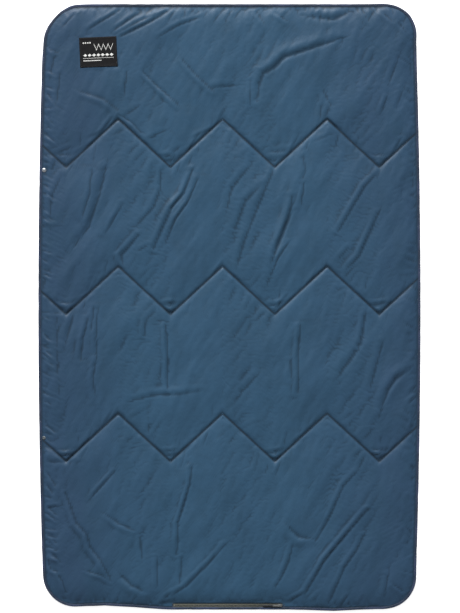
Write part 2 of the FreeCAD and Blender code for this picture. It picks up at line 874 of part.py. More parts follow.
stud_r = size("stud_diameter") / 2
flange_top = face_top + size("stud_flange")
stud_top = flange_top + size("stud_height")
stud_profile = [
    (barrel_fit, face_top), (stud_r, face_top), (stud_r, flange_top),
    (stud_r - size("stud_lip"), flange_top + wire),
    (stud_r - size("stud_groove"), flange_top), (neck_r, flange_top), (neck_r, stud_top - wire / 2),
    (neck_r - wire / 2, stud_top), (barrel_fit, stud_top),
]
sub_part(turned("stud", "lower", stud_profile), "snap_stud")

post_r = size("post_diameter") / 2
post_low = back_under - size("post_flange")
post_bore = size("barrel_bore") / 2
post_profile = [
    (post_bore, post_low), (post_r - wire, post_low), (post_r, back_under - wire / 2), (post_r, back_under),
    (barrel_r, back_under), (barrel_r, stud_top - wire), (post_bore, stud_top - wire),
]
sub_part(turned("rivet_post", "lower", post_profile), "snap_post")

# ---------------------------------------------------------------- recompute, test and write
doc.recompute()
for thing in doc.Objects:
    if "Invalid" in thing.State or "Error" in thing.State:
        raise RuntimeError(f"{thing.Label} did not build: {thing.State}")
for solid in sub_parts:
    if solid.Shape.isNull() or not solid.Shape.isValid() or not solid.Shape.Solids:
        raise RuntimeError(f"{solid.Label} has no valid shape")

os.makedirs("parts", exist_ok=True)
for solid in sub_parts:
    solid.Shape.exportStep(f"parts/{solid.Label}.step")
    print(f"{solid.Label:22s} solids {len(solid.Shape.Solids):3d}  volume {solid.Shape.Volume:14.2f} mm3")
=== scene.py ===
import math
import bmesh
import bpy
import numpy as np
from mathutils import Matrix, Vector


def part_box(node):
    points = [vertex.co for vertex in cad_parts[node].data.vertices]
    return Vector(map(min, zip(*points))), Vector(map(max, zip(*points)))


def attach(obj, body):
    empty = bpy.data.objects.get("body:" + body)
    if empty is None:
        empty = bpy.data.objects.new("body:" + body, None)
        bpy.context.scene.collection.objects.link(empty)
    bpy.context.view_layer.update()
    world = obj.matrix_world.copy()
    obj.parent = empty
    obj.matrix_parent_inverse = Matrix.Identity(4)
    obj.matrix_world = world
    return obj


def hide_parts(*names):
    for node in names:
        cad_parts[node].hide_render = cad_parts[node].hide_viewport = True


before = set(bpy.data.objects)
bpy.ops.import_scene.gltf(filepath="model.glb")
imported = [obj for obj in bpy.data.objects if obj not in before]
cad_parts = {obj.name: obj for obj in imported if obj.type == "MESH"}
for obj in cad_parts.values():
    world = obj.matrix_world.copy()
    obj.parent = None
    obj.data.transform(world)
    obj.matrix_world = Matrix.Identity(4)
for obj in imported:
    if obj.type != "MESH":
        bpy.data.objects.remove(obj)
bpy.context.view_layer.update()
bpy.context.scene.view_settings.view_transform = "Standard"


# ------------------------ face cloth
# The upper shell of the blanket: downproof nylon taffeta, dyed blue, cut as one sheet and quilted
# through the filling along three zigzag rows. It puffs between the rows, creases where it was
# stuffed in its pocket, and puckers where thread or binding draws it in.
half_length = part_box("edge_binding")[1].y
half_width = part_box("edge_binding")[1].x
corner = 0.100
bow_radius = 24.0
row_heights = (0.486, 0.049, -0.388)
pitch = 0.310
rise = 0.143
peak_x = -0.020
zip_y = (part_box("zip_coil_upper")[0].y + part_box("zip_coil_lower")[1].y) / 2
zip_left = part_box("zip_coil_upper")[0].x - 0.004
zip_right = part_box("zip_coil_upper")[1].x + 0.004
label_low, label_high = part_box("label_patch")
label_middle = (label_low + label_high) / 2
label_tilt = math.radians(2.5)
snap_middles = [(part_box(name)[0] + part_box(name)[1]) / 2 for name in ("snap_cap", "snap_stud")]
seam_top = 0.0060
puff = 0.0078
leg = 0.0075
cloth_thick = 0.0003
thread_level = 0.00608
random = np.random.default_rng(11)


def zigzag(x):
    """Height of the quilting line over its middle, from -1 to 1."""
    place = (x - peak_x) / pitch
    return 1 - 4 * np.abs(place - np.rint(place))


def edge_x(y):
    """How far the side edge is from the middle line at a height y."""
    y = np.abs(y)
    beyond = np.clip(y - (half_length - corner), 0, corner)
    side = half_width - bow_radius + np.sqrt(bow_radius ** 2 - y ** 2)
    return side - corner + np.sqrt(corner ** 2 - beyond ** 2)


def from_row(x, y):
    """Distance to the nearest quilting line."""
    lean = math.cos(math.atan2(rise, pitch / 2))
    return np.min([np.abs(y - c - rise / 2 * zigzag(x)) * lean for c in row_heights], axis=0)


def from_edge(x, y):
    """Distance inwards from the outline."""
    ax = np.abs(x)
    ay = np.abs(y)
    side = edge_x(np.clip(y, corner - half_length, half_length - corner))
    middle_x = side - corner
    middle_y = half_length - corner
    rounded = corner - np.hypot(ax - middle_x, ay - middle_y)
    straight = np.minimum(side - ax, half_length - ay)
    in_corner = (ax > middle_x) & (ay > middle_y)
    return np.clip(np.where(in_corner, rounded, straight), 0, None)


def rows_between(low, high, step):
    count = 2 * max(1, round((high - low) / step / 2))
    return list(np.linspace(low, high, count + 1)[:-1])


def laid_out(step):
    """The points of a cloth whose threads of mesh run along the quilting rows and the outline."""
    end = [0, 0.004, 0.008, 0.013, 0.018]
    inner = end[:-1] + rows_between(end[-1], corner, step)
    v = [-half_length + e for e in inner]
    marks = [corner - half_length, *reversed(row_heights), half_length - corner]
    for low, high in zip(marks[:-1], marks[1:]):
        v += rows_between(low, high, step)
    v += [half_length - e for e in reversed(inner)]
    v = np.array(sorted(set(np.round(v + [half_length - corner], 9))))
    # an odd number of lines, so that the grid of every other line also ends on the hem
    if len(v) % 2 == 0:
        v = np.sort(np.append(v, (v[-6] + v[-7]) / 2))
    across = 2 * round(half_width / step)
    s, v = np.meshgrid(np.linspace(-1, 1, across + 1), v)
    upper = np.clip((half_length - 0.03 - v) / (half_length - 0.03 - row_heights[0]), 0, 1)
    lower = np.clip((v + half_length - 0.03) / (row_heights[2] + half_length - 0.03), 0, 1)
    follow = np.minimum(upper, lower) ** 1.3
    x = s * half_width
    for _ in range(4):
        y = v + follow * rise / 2 * zigzag(x)
        x = s * half_width + (edge_x(y) - half_width) * np.sign(s) * np.abs(s) ** 3
    return x, y


def rough(x, y, low, high, count, slant=0.0, stretch=1.0):
    """Smooth irregular waves with lengths from low to high, longer along the slant."""
    total = np.zeros_like(x)
    along = x * math.cos(slant) + y * math.sin(slant)
    cross = y * math.cos(slant) - x * math.sin(slant)
    for _ in range(count):
        turn = random.uniform(0, 2 * math.pi)
        wave = 2 * math.pi / random.uniform(low, high)
        shift = random.uniform(0, 2 * math.pi)
        total += np.cos(wave * (along * math.cos(turn) / stretch + cross * math.sin(turn)) + shift)
    return total / math.sqrt(count)


def smooth(value, low, high):
    t = np.clip((value - low) / (high - low), 0, 1)
    return t * t * (3 - 2 * t)


def crease(x, y, height, width, line):
    """A fold along a line: a ridge on one side of it and a sharp valley on the other."""
    points = np.array(line, float).reshape(-1, 2) / 1000
    best = np.full(x.shape, 9.0)
    signed = np.zeros_like(x)
    place = np.zeros_like(x)
    steps = np.hypot(*np.diff(points, axis=0).T)
    total = steps.sum()
    start = 0.0
    for a, b, step in zip(points[:-1], points[1:], steps):
        along = np.array([b - a])[0] / step
        u = (x - a[0]) * along[0] + (y - a[1]) * along[1]
        held = np.clip(u, 0, step)
        side = (x - a[0]) * along[1] - (y - a[1]) * along[0]
        distance = np.hypot(x - a[0] - held * along[0], y - a[1] - held * along[1])
        nearer = distance < best
        best = np.where(nearer, distance, best)
        signed = np.where(nearer, np.sign(side) * distance, signed)
        place = np.where(nearer, (start + held) / total, place)
        start += step
    if points[-1][1] < points[0][1] or (points[-1][1] == points[0][1] and points[-1][0] < points[0][0]):
        signed = -signed
    t = signed / (width / 1000)
    fade = np.sin(math.pi * np.clip(0.12 + 0.76 * place, 0, 1)) ** 0.8
    shape = 1.0 * np.exp(-(t + 1.15) ** 2 / 1.3) - 0.95 * np.exp(-(t - 0.25) ** 2 / 0.32)
    return 1.65 * height / 1000 * shape * fade


folds = [
    # top panel
    (1.2, 6, (-324, 884, -370, 855, -412, 830)), (1.3, 6, (-278, 868, -340, 824)),
    (1.9, 7, (-165, 892, -210, 862, -254, 838, -320, 806)), (0.9, 6, (-307, 694, -313, 639)),
    (1.1, 6, (-254, 694, -220, 659, -154, 600)), (1.1, 6, (-138, 730, -103, 690, -50, 640)),
    (1.2, 6, (-187, 879, -262, 852, -335, 812)), (0.9, 6, (-92, 860, -150, 838, -205, 806)),
    (0.8, 6, (-330, 570, -290, 545, -262, 515)), (0.8, 6, (-350, 560, -380, 520)),
    (1.1, 7, (-437, 636, -375, 616, -336, 585)), (0.7, 6, (77, 876, 104, 838)),
    (0.8, 6, (135, 872, 169, 849)), (1.5, 14, (243, 865, 305, 857, 344, 873)),
    (1.7, 13, (317, 795, 236, 768, 162, 744, 131, 713, 99, 694, 86, 663, 80, 616)),
    (0.7, 6, (63, 671, 59, 600)), (0.7, 7, (278, 639, 298, 600)), (0.9, 6, (453, 585, 464, 620)),
    (0.5, 9, (-64, 651, 13, 659)), (0.7, 6, (-465, 872, -500, 838)), (0.6, 6, (-20, 885, -45, 850)),
    (0.7, 6, (20, 885, 5, 856)), (0.8, 6, (390, 885, 410, 850)), (0.9, 6, (452, 872, 478, 846)),
    (0.8, 6, (500, 838, 520, 812)), (0.6, 8, (500, 740, 470, 660)), (0.6, 8, (520, 660, 492, 590)),
    (0.6, 7, (-520, 760, -534, 680)), (0.6, 7, (-505, 690, -515, 600)),
    # second panel, left part
    (0.9, 6, (-410, 406, -418, 329, -437, 270)), (1.4, 13, (-371, 406, -390, 329, -421, 239, -456, 189)),
    (0.9, 6, (-204, 406, -208, 348, -227, 294, -270, 251)),
    (1.9, 7, (-111, 406, -138, 336, -173, 294, -204, 228, -227, 173)),
    (1.3, 6, (-95, 380, -125, 310, -160, 262, -188, 200)),
    (1.9, 7, (-274, 212, -305, 173, -324, 154, -320, 134)), (0.8, 5, (-243, 185, -274, 166)),
    (0.8, 7, (-320, 305, -367, 220)), (0.9, 7, (-499, 394, -530, 329, -534, 243)),
    # second panel, right part
    (1.7, 6, (433, 394, 399, 356, 360, 290, 321, 224)), (1.7, 6, (441, 279, 414, 220, 383, 150, 348, 115)),
    (0.9, 5, (352, 178, 321, 142)), (0.9, 6, (220, 368, 212, 305)),
    (1.2, 9, (185, 329, 173, 262, 150, 204, 131, 158)), (0.9, 6, (173, 189, 142, 142, 123, 96)),
    (0.7, 5, (530, 189, 560, 185)), (0.7, 5, (528, 162, 560, 158)), (0.7, 5, (530, 136, 560, 131)),
    (0.8, 10, (217, 442, 223, 404, 199, 336, 172, 264, 134, 175, 113, 77)),
    (1.0, 11, (128, 404, 104, 353, 74, 276, 45, 205, 24, 137)), (0.8, 10, (95, 365, 45, 315, 15, 235)),
    (0.8, 10, (45, 404, 6, 353, -9, 294)), (0.9, 8, (187, 285, 154, 205, 125, 137)),
    # third panel, left part
    (0.6, 9, (-515, 20, -513, -150, -505, -306)), (1.4, 7, (-421, -38, -437, -96, -443, -158)),
    (1.1, 6, (-404, 0, -411, -69)), (0.9, 6, (-392, -4, -398, -96, -396, -154)),
    (0.8, 7, (-399, -160, -406, -212, -402, -259)), (1.2, 12, (-464, -18, -487, -100)),
    (0.7, 6, (-250, -38, -254, -84)), (1.8, 6, (-190, -57, -187, -108, -184, -158, -186, -212, -184, -244)),
    (0.7, 9, (-285, -275, -223, -259, -146, -257, -91, -247)),
    # third panel, right part
    (1.5, 6, (208, -57, 202, -150, 204, -212, 200, -259)), (0.7, 6, (180, -158, 180, -212)),
    (1.6, 7, (400, -26, 394, -77, 382, -115)), (1.0, 14, (382, -115, 360, -150, 324, -197)),
    (1.8, 13, (530, -185, 492, -212, 468, -247, 453, -286, 449, -301)),
    (1.0, 6, (557, -134, 542, -158)), (1.0, 6, (560, -228, 538, -251)), (1.0, 6, (560, -259, 534, -283)),
    (0.7, 9, (453, -108, 433, -174, 414, -251)), (0.6, 10, (72, -209, 37, -251)),
    # bottom panel, left part
    (2.0, 7, (-487, -556, -472, -595, -456, -641, -425, -676, -414, -715, -386, -750, -359, -804)),
    (1.2, 6, (-344, -490, -371, -521, -406, -560)),
    (1.9, 6, (-115, -478, -118, -525, -140, -599, -154, -641, -154, -696, -159, -734)),
    (1.2, 7, (-17, -708, -56, -754, -99, -797, -130, -828, -165, -851)), (0.8, 6, (-266, -688, -262, -746)),
    (0.8, 6, (-216, -742, -218, -839)), (0.7, 6, (-142, -742, -150, -823)),
    (1.0, 6, (-418, -789, -382, -800, -356, -820)), (1.4, 12, (-320, -804, -293, -832, -262, -847)),
    (1.0, 6, (-519, -785, -499, -816, -487, -855)), (1.0, 7, (-364, -621, -320, -649, -289, -661)),
    (1.0, 6, (-542, -494, -519, -529)), (1.0, 6, (-542, -595, -515, -618)),
    (1.0, 6, (-538, -722, -503, -758)), (0.9, 9, (-545, -458, -461, -458)),
    (0.9, 6, (-196, -868, -176, -850)), (0.8, 6, (-204, -880, -185, -874)),
    # bottom panel, right part
    (2.0, 7, (406, -603, 360, -657, 321, -704, 282, -750, 255, -797, 227, -843)),
    (1.4, 6, (371, -494, 336, -532, 317, -575, 298, -618, 278, -657, 255, -692)),
    (1.2, 7, (395, -680, 375, -723, 340, -773, 317, -824, 294, -874)),
    (1.1, 7, (185, -711, 173, -758, 154, -800, 134, -832)), (0.9, 7, (468, -797, 459, -859)),
    (1.4, 11, (181, -661, 204, -684, 227, -688)), (0.9, 6, (180, -872, 220, -847)),
    (0.8, 6, (240, -878, 262, -852)), (0.8, 6, (486, -826, 516, -846)), (0.8, 6, (330, -884, 348, -856)),
]


valley_x = [peak_x + pitch * (number + 0.5) for number in range(-2, 2)]
for row_y in row_heights:
    for valley in valley_x:
        for lift, half in ((13, 9), (22, 15), (33, 21)):
            low_y = row_y * 1000 - rise * 500 + lift + random.uniform(-2, 2)
            low_x = valley * 1000 + random.uniform(-4, 4)
            lean = random.uniform(-3, 5)
            ends = (low_x + half, low_y + lean, low_x - half, low_y - lean)
            folds.append((random.uniform(0.9, 1.4), 4.8, ends))
for _ in range(230):
    start = random.uniform(-0.545, 0.545) * 1000
    row_y = row_heights[random.integers(3)] * 1000 + rise * 500 * float(zigzag(start / 1000))
    way = math.radians(random.normal(62, 20))
    reach = random.uniform(18, 62)
    side = random.choice((-1, 1))
    near = random.uniform(5, 14) * side
    spans = (near, near + side * reach)
    ends = [(start + math.cos(way) * span, row_y + math.sin(way) * span) for span in spans]
    ends.sort(key=lambda end: -end[1])
    folds.append((random.uniform(0.15, 0.5), random.uniform(4.2, 6.5), (*ends[0], *ends[1])))
for _ in range(130):
    along = random.uniform(-0.80, 0.80) * 1000
    side = random.choice((-1, 1))
    start = side * (float(edge_x(along / 1000)) * 1000 - random.uniform(13, 20))
    reach = random.uniform(14, 38)
    way = math.radians(random.normal(-32, 16))
    end = (start - side * math.cos(way) * reach, along + side * math.sin(way) * reach * -1)
    stronger = 0.6 if side > 0 else 1.0 if along > -440 else 1.7
    size = random.uniform(0.4, 1.0) * stronger
    folds.append((size, random.uniform(4.2, 5.8), (start, along, *end)))
for _ in range(60):
    along = random.uniform(-0.45, 0.46) * 1000
    side = random.choice((-1, 1), p=(0.4, 0.6))
    if side < 0 and -190 < along < 180:
        continue
    start = side * (half_length * 1000 - random.uniform(13, 18))
    reach = random.uniform(14, 42)
    way = math.radians(random.normal(60, 15))
    folds.append((
        random.uniform(0.3, 0.7), random.uniform(4.2, 5.5),
        (along, start, along - side * math.cos(way) * reach, start - side * math.sin(way) * reach),
    ))


def waves_along(place, *parts):
    """The sum of cosine waves along a line, each given as its length and its shift."""
    return sum(np.cos(2 * math.pi * place / size + turn) for size, turn in parts)


def face_height(x, y):
    row = from_row(x, y)
    edge = from_edge(x, y)
    by_row = 0.58 * (1 - np.exp(-row / 0.0052)) + 0.42 * (1 - np.exp(-(row / 0.062) ** 2))
    rim = 0.009 + 0.013 * smooth(-y, 0.80, 0.875) * smooth(0.215 - np.abs(x), 0, 0.035)
    by_edge = 1 - np.exp(-(np.clip(edge - rim, 0, None) / 0.026) ** 1.25)
    z = puff * by_row * by_edge
    waves = 0.0010 * rough(x, y, 0.09, 0.20, 24, slant=1.0, stretch=2.2)
    waves += 0.00050 * rough(x, y, 0.036, 0.080, 40, slant=1.1, stretch=3.0)
    waves += 0.00020 * rough(x, y, 0.018, 0.036, 50, slant=1.2, stretch=2.6)
    side_on = edge_x(np.clip(y, -0.8, 0.8)) - np.abs(x) < half_length - np.abs(y)
    along = np.where(side_on, y - 0.5 * np.abs(x), x + 0.4 * y)
    gather = waves_along(along, (0.014, 1), (0.0197, 2), (0.031, 4))
    uneven = np.clip(0.55 + 0.45 * rough(x, y, 0.10, 0.25, 16), 0, 1.6)
    near_hem = np.exp(-np.clip(edge - rim, 0, None) / 0.015) * smooth(edge, rim, rim + 0.006)
    waves += 0.00050 * gather * uneven * near_hem * (1 + 0.6 * smooth(y, 0.80, 0.88))
    drawn = waves_along(x, (0.009, 0), (0.0137, 2), (0.022, 5))
    waves += 0.00030 * drawn * uneven * np.exp(-row / 0.011) * smooth(row, 0, 0.004)
    for height, width, line in folds:
        points = np.array(line, float).reshape(-1, 2) / 1000
        low = points.min(0) - 0.05
        high = points.max(0) + 0.05
        near = (x > low[0]) & (x < high[0]) & (y > low[1]) & (y < high[1])
        waves[near] += crease(x[near], y[near], height, width, line)
    z = z + waves * smooth(edge, rim - 0.001, rim + 0.012) * smooth(row, 0, 0.007)
    turned_x = (x - label_middle.x) * math.cos(label_tilt) + (y - label_middle.y) * math.sin(label_tilt)
    turned_y = (y - label_middle.y) * math.cos(label_tilt) - (x - label_middle.x) * math.sin(label_tilt)
    off_label = np.maximum(np.abs(turned_x) - 0.0555, np.abs(turned_y) - 0.0445)
    z = z + (0.0074 - z) * (1 - smooth(off_label, 0.0, 0.012))
    for middle in snap_middles:
        z = z * smooth(np.hypot(x - middle.x, y - middle.y), 0.0075, 0.017)
    return np.clip(z, 0, None) + seam_top


def settled(x, y):
    """The small in-plane pull that leaves the corners unequal and the lower hem wavy."""
    dx = np.zeros_like(x)
    dy = np.zeros_like(y)
    corner_x = 0.538
    corner_y = 0.870
    for sx, sy, pull in ((-1, 1, -0.0105), (1, 1, 0.0070), (-1, -1, -0.0020), (1, -1, 0.0030)):
        near = np.exp(-((x - sx * corner_x) ** 2 + (y - sy * corner_y) ** 2) / 0.075 ** 2)
        dx += 0.7 * sx * pull * near
        dy += 0.7 * sy * pull * near
    hem_x = (-0.56, -0.45, -0.37, -0.28, -0.20, -0.17, 0.17, 0.23, 0.31, 0.39, 0.46, 0.56)
    hem_y = (0.000, 0.009, 0.012, 0.007, 0.001, 0.000, 0.000, -0.001, -0.004, 0.000, 0.002, 0.000)
    dy += np.interp(x, hem_x, hem_y) * np.exp(-((y + half_length) / 0.09) ** 2)
    return x + dx, y + dy


def mesh_of(name, bm):
    """Writes a bmesh to a new mesh and frees it."""
    mesh = bpy.data.meshes.new(name)
    bm.to_mesh(mesh)
    bm.free()
    return mesh


def placed(name, data):
    """A new object at the origin for a mesh, a lamp or a camera."""
    piece = bpy.data.objects.new(name, data)
    bpy.context.scene.collection.objects.link(piece)
    return piece


def rounded_off(bm):
    """Turns the faces outwards and shades them smooth."""
    bmesh.ops.recalc_face_normals(bm, faces=bm.faces)
    for face in bm.faces:
        face.smooth = True


def open_grid(name, x, y, z):
    """One layer of mesh over a grid of points."""
    bm = bmesh.new()
    bmesh.ops.create_grid(bm, x_segments=x.shape[1] - 1, y_segments=x.shape[0] - 1, size=1)
    mesh = mesh_of(name, bm)
    mesh.vertices.foreach_set("co", np.stack([x, y, z], -1).astype(np.float32).ravel())
    return placed(name, mesh)


def weights(piece, name, values):
    group = piece.vertex_groups.new(name=name)
    values = np.round(values.ravel(), 2)
    for value in np.unique(values):
        group.add(np.nonzero(values == value)[0].tolist(), float(value), "REPLACE")


def relaxed(x, y, z):
    """Lets the cloth buckle where it is fuller than the space it is sewn into."""
    piece = open_grid("loose_cloth", x, y, z)
    row = from_row(x, y)
    edge = from_edge(x, y)
    near = np.minimum(row, edge)
    fixed = (row < 0.0015) | (edge < 0.010)
    by_zip = (y < zip_y + 0.012) & (x > zip_left - 0.02) & (x < zip_right + 0.02)
    by_snap = sum(np.hypot(x - m.x, y - m.y) < 0.010 for m in snap_middles) > 0
    weights(piece, "sewn", np.where(fixed | by_zip | by_snap, 1.0, 0.3))
    weights(piece, "full", np.exp(-near / 0.022) * np.clip(0.6 + 0.4 * rough(x, y, 0.05, 0.14, 30), 0, 1))
    modifier = piece.modifiers.new("cloth", "CLOTH")
    cloth = modifier.settings
    cloth.quality = 5
    cloth.mass = 0.15
    cloth.tension_stiffness = cloth.compression_stiffness = 15
    cloth.shear_stiffness = 5
    cloth.bending_stiffness = 0.02
    cloth.air_damping = 3
    cloth.tension_damping = cloth.compression_damping = cloth.shear_damping = 5
    cloth.vertex_group_mass = "sewn"
    cloth.pin_stiffness = 1
    cloth.vertex_group_shrink = "full"
    cloth.shrink_min = -0.004
    cloth.shrink_max = -0.045
    cloth.use_pressure = True
    cloth.uniform_pressure_force = 1
    cloth.effector_weights.gravity = 0
    modifier.collision_settings.use_collision = False
    frames = 12
    modifier.point_cache.frame_end = frames
    for step in range(1, frames + 1):
        bpy.context.scene.frame_set(step)
    shape = piece.evaluated_get(bpy.context.evaluated_depsgraph_get()).to_mesh()
    points = np.empty(x.size * 3, np.float32)
    shape.vertices.foreach_get("co", points)
    points = points.reshape(*x.shape, 3).astype(float)
    bpy.context.scene.frame_set(1)
    bpy.data.objects.remove(piece)
    return points[..., 0], points[..., 1], points[..., 2]


def stands_for(piece, node, body="blanket"):
    """The piece moves with a body and takes the place of a CAD part, which is hidden."""
    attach(piece, body)
    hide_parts(node)


def layer(name, x, y, z, inner_z, hole=None, shade_and_highlight=None):
    """A closed sheet from a fine outer grid and an inner grid with half as many lines each way."""
    outer = np.stack([x, y, z], -1)
    inner = np.stack([x[::2, ::2], y[::2, ::2], inner_z], -1)
    rows = inner.shape[0] - 1
    columns = inner.shape[1] - 1
    fine = 2 * columns + 1
    first_inner = fine * (2 * rows + 1)
    kept = np.ones((rows, columns), bool) if hole is None else ~hole
    bm = bmesh.new()
    bmesh.ops.create_grid(bm, x_segments=2 * columns, y_segments=2 * rows, size=1)
    bmesh.ops.create_grid(bm, x_segments=columns, y_segments=rows, size=1)
    bm.verts.ensure_lookup_table()
    if hole is not None:
        gone = []
        for face in bm.faces:
            lowest = min(v.index for v in face.verts)
            if lowest < first_inner:
                row, column = lowest // fine // 2, lowest % fine // 2
            else:
                row, column = divmod(lowest - first_inner, columns + 1)
            if not kept[row, column]:
                gone.append(face)
        bmesh.ops.delete(bm, geom=gone, context="FACES_ONLY")
    framed = np.pad(kept, 1)
    for row in range(rows + 1):
        for column in range(columns):
            if framed[row, column + 1] != framed[row + 1, column + 1]:
                a = 2 * row * fine + 2 * column
                c = first_inner + row * (columns + 1) + column
                bm.faces.new([bm.verts[i] for i in (a, a + 1, a + 2, c + 1, c)])
    for column in range(columns + 1):
        for row in range(rows):
            if framed[row + 1, column] != framed[row + 1, column + 1]:
                a = 2 * row * fine + 2 * column
                c = first_inner + row * (columns + 1) + column
                bm.faces.new([bm.verts[i] for i in (a, a + fine, a + 2 * fine, c + columns + 1, c)])
    for number, point in enumerate(np.concatenate([outer.reshape(-1, 3), inner.reshape(-1, 3)])):
        bm.verts[number].co = point
    # each point's amount of painted shade in creases and seams, or painted highlight on ridges, kept for
    # the finish
    if shade_and_highlight is not None:
        painted_shading = bm.verts.layers.float.new("shade_and_highlight")
        for number, value in enumerate(shade_and_highlight.ravel()):
            bm.verts[number][painted_shading] = value
    bmesh.ops.delete(bm, geom=[v for v in bm.verts if not v.link_faces], context="VERTS")
    rounded_off(bm)
    return placed(name, mesh_of(name, bm))


def windows(z):
    """The nine grids that hold each point's own value and those of the eight points round it."""
    wide = np.pad(z, 1, mode="edge")
    rows, columns = z.shape
    return [wide[a:a + rows, b:b + columns] for a in range(3) for b in range(3)]


def under(z, gap):
    """Half as many lines each way, each point a gap below the lowest point of z around it."""
    return np.min(windows(z), axis=0)[::2, ::2] - gap


def inside_rim(x, y):
    """Keeps the cut edge of a layer a millimetre inside the binding's fold."""
    x[:, 0] += 0.0012
    x[:, -1] -= 0.0012
    y[0] += 0.0012
    y[-1] -= 0.0012
    return x, y


def shade_and_highlight_from_relief(x, y, z):
    """How sunk each point is below the cloth round it, from -1 on a ridge to 1 in a crease or seam: the
    amount of painted highlight or painted shade.
    """
    mean = z.copy()
    for _ in range(3):
        mean = np.mean(windows(mean), axis=0)
    # painted shade in hollows and painted highlight on ridges, from the relief
    sunk = 0.60 * np.clip((mean - z) / 0.0008, -1, 1)
    # a painted dark line of shade along the quilting rows and along the inner edge of the binding
    groove = np.exp(-(from_row(x, y) / 0.0034) ** 2)
    groove = np.maximum(groove, np.exp(-((from_edge(x, y) - leg) / 0.0030) ** 2))
    return np.maximum(sunk * (1 - 0.6 * np.exp(-from_row(x, y) / 0.008)), 1.15 * groove)


class Wire:
    """One output of a material's nodes, on which arithmetic can be done."""

    def __init__(self, tree, socket):
        self.tree = tree
        self.socket = socket

    def node(self, kind, inputs, output=0, **settings):
        made = self.tree.nodes.new(kind)
        for key, value in settings.items():
            setattr(made, key, value)
        for key, value in inputs.items():
            if isinstance(value, Wire):
                self.tree.links.new(value.socket, made.inputs[key])
            else:
                made.inputs[key].default_value = value
        return Wire(self.tree, made.outputs[output])

    def math(self, operation, *values):
        return self.node("ShaderNodeMath", dict(enumerate(values)), operation=operation)

    def __add__(self, other):
        return self.math("ADD", self, other)

    def __sub__(self, other):
        return self.math("SUBTRACT", self, other)

    def __mul__(self, other):
        return self.math("MULTIPLY", self, other)

    def __radd__(self, other):
        return self.math("ADD", other, self)

    def __rsub__(self, other):
        return self.math("SUBTRACT", other, self)

    def __rmul__(self, other):
        return self.math("MULTIPLY", other, self)

    def sine(self):
        return self.math("SINE", self)

    def size(self):
        return self.math("ABSOLUTE", self)

    def part(self, axis):
        return self.node("ShaderNodeSeparateXYZ", {0: self}, output="XYZ".index(axis))

    def scaled(self, factor):
        return self.node("ShaderNodeVectorMath", {0: self, 1: factor}, operation="MULTIPLY")

    def noise(self, scale, detail=2.0, rough=0.5):
        inputs = {"Vector": self, "Scale": scale, "Detail": detail, "Roughness": rough}
        return self.node("ShaderNodeTexNoise", inputs)

    def step(self, low, high, down=0.0, up=1.0):
        inputs = {0: self, 1: low, 2: high, 3: down, 4: up}
        return self.node("ShaderNodeMapRange", inputs, interpolation_type="SMOOTHSTEP")

    def mix(self, first, second):
        inputs = {0: self, 6: first, 7: second}
        return self.node("ShaderNodeMix", inputs, output=2, data_type="RGBA")

    def bump(self, distance, strength=1.0, under=None):
        inputs = {"Height": self, "Distance": distance, "Strength": strength}
        if under is not None:
            inputs["Normal"] = under
        return self.node("ShaderNodeBump", inputs)


def finish(name, **uniform):
    """A material, its shader and the point on the piece, in metres."""
    material = bpy.data.materials.new(name)
    material.use_nodes = True
    tree = material.node_tree
    shader = tree.nodes["Principled BSDF"]
    for key, value in uniform.items():
        shader.inputs[key.replace("_", " ")].default_value = value
    here = Wire(tree, tree.nodes.new("ShaderNodeTexCoord").outputs["Object"])
    return material, shader, here


def feed(shader, **wires):
    for key, wire in wires.items():
        wire.tree.links.new(wire.socket, shader.inputs[key.replace("_", " ")])


def woven(here, across, along, turn=2 * math.pi):
    """Height of a plain weave, 0 to 1, from the thread spacing each way."""
    warp = (here.part("X") * (turn / across)).sine()
    weft = (here.part("Y") * (turn / along)).sine()
    over = (here.part("X") * (turn / across / 2)).sine() * (here.part("Y") * (turn / along / 2)).sine()
    return warp.size() * (0.5 + 0.5 * over) + weft.size() * (0.5 - 0.5 * over)


def shell_cloth(name, middle, side, shade, painted_shading):
    """Downproof taffeta: greener in the middle, darker and more violet towards the sides, and darker still
    towards the left side.
    """
    material, shader, here = finish(name, Sheen_Weight=0.06, Sheen_Roughness=0.4, IOR=1.32)
    shader.inputs["Sheen Tint"].default_value = (0.55, 0.65, 1.0, 1.0)
    outward = (here.part("X").size() + 0.12 * here.part("Y").size()).step(0.20, 0.62)
    outward = outward + here.part("X").step(-0.30, -0.56) * 0.40
    patchy = here.scaled((1.0, 0.55, 1.0)).noise(5.5, 3.0, 0.55)
    colour = (outward * 0.8 + (patchy - 0.5) * 0.9).mix(middle, side)
    soft = here.noise(38.0, 4.0, 0.6)
    fade = here.scaled((1.0, 0.45, 1.0)).noise(13.0, 3.0, 0.6)
    deep = ((soft - 0.5) * 0.55 + (fade - 0.5) * 0.7 + 0.28).step(0.0, 1.0)
    colour = deep.mix(colour, shade)
    # the stored amount of painted shade and painted highlight
    sunk = here.node("ShaderNodeAttribute", {}, output=2, attribute_name="shade_and_highlight")
    # painted shade: creases, seams and the binding's edge are darkened
    colour = (sunk.step(0.02, 1.0) * painted_shading).mix(colour, (0.004, 0.011, 0.020, 1))
    # painted highlight: ridges are lightened
    colour = (sunk.step(-0.05, -0.50) * painted_shading * 0.28).mix(colour, (0.075, 0.140, 0.210, 1))
    warp_slub = here.scaled((30.0, 2500.0, 1.0)).noise(1.0, 1.0)
    weft_slub = here.scaled((2500.0, 30.0, 1.0)).noise(1.0, 1.0)
    slub = warp_slub * 0.5 + weft_slub * 0.5
    colour = ((slub - 0.5) * 0.30 + 0.10).mix(colour, shade)
    feed(shader, Base_Color=colour, Roughness=0.50 + 0.16 * (soft - 0.5) + 0.10 * (slub - 0.5))
    crinkle = here.scaled((1.0, 0.6, 1.0)).noise(70.0, 4.0, 0.55)
    normal = crinkle.bump(0.0016, 0.45)
    normal = woven(here, 0.00030, 0.00034).bump(0.00006, 0.5, under=normal)
    feed(shader, Normal=normal)
    return material


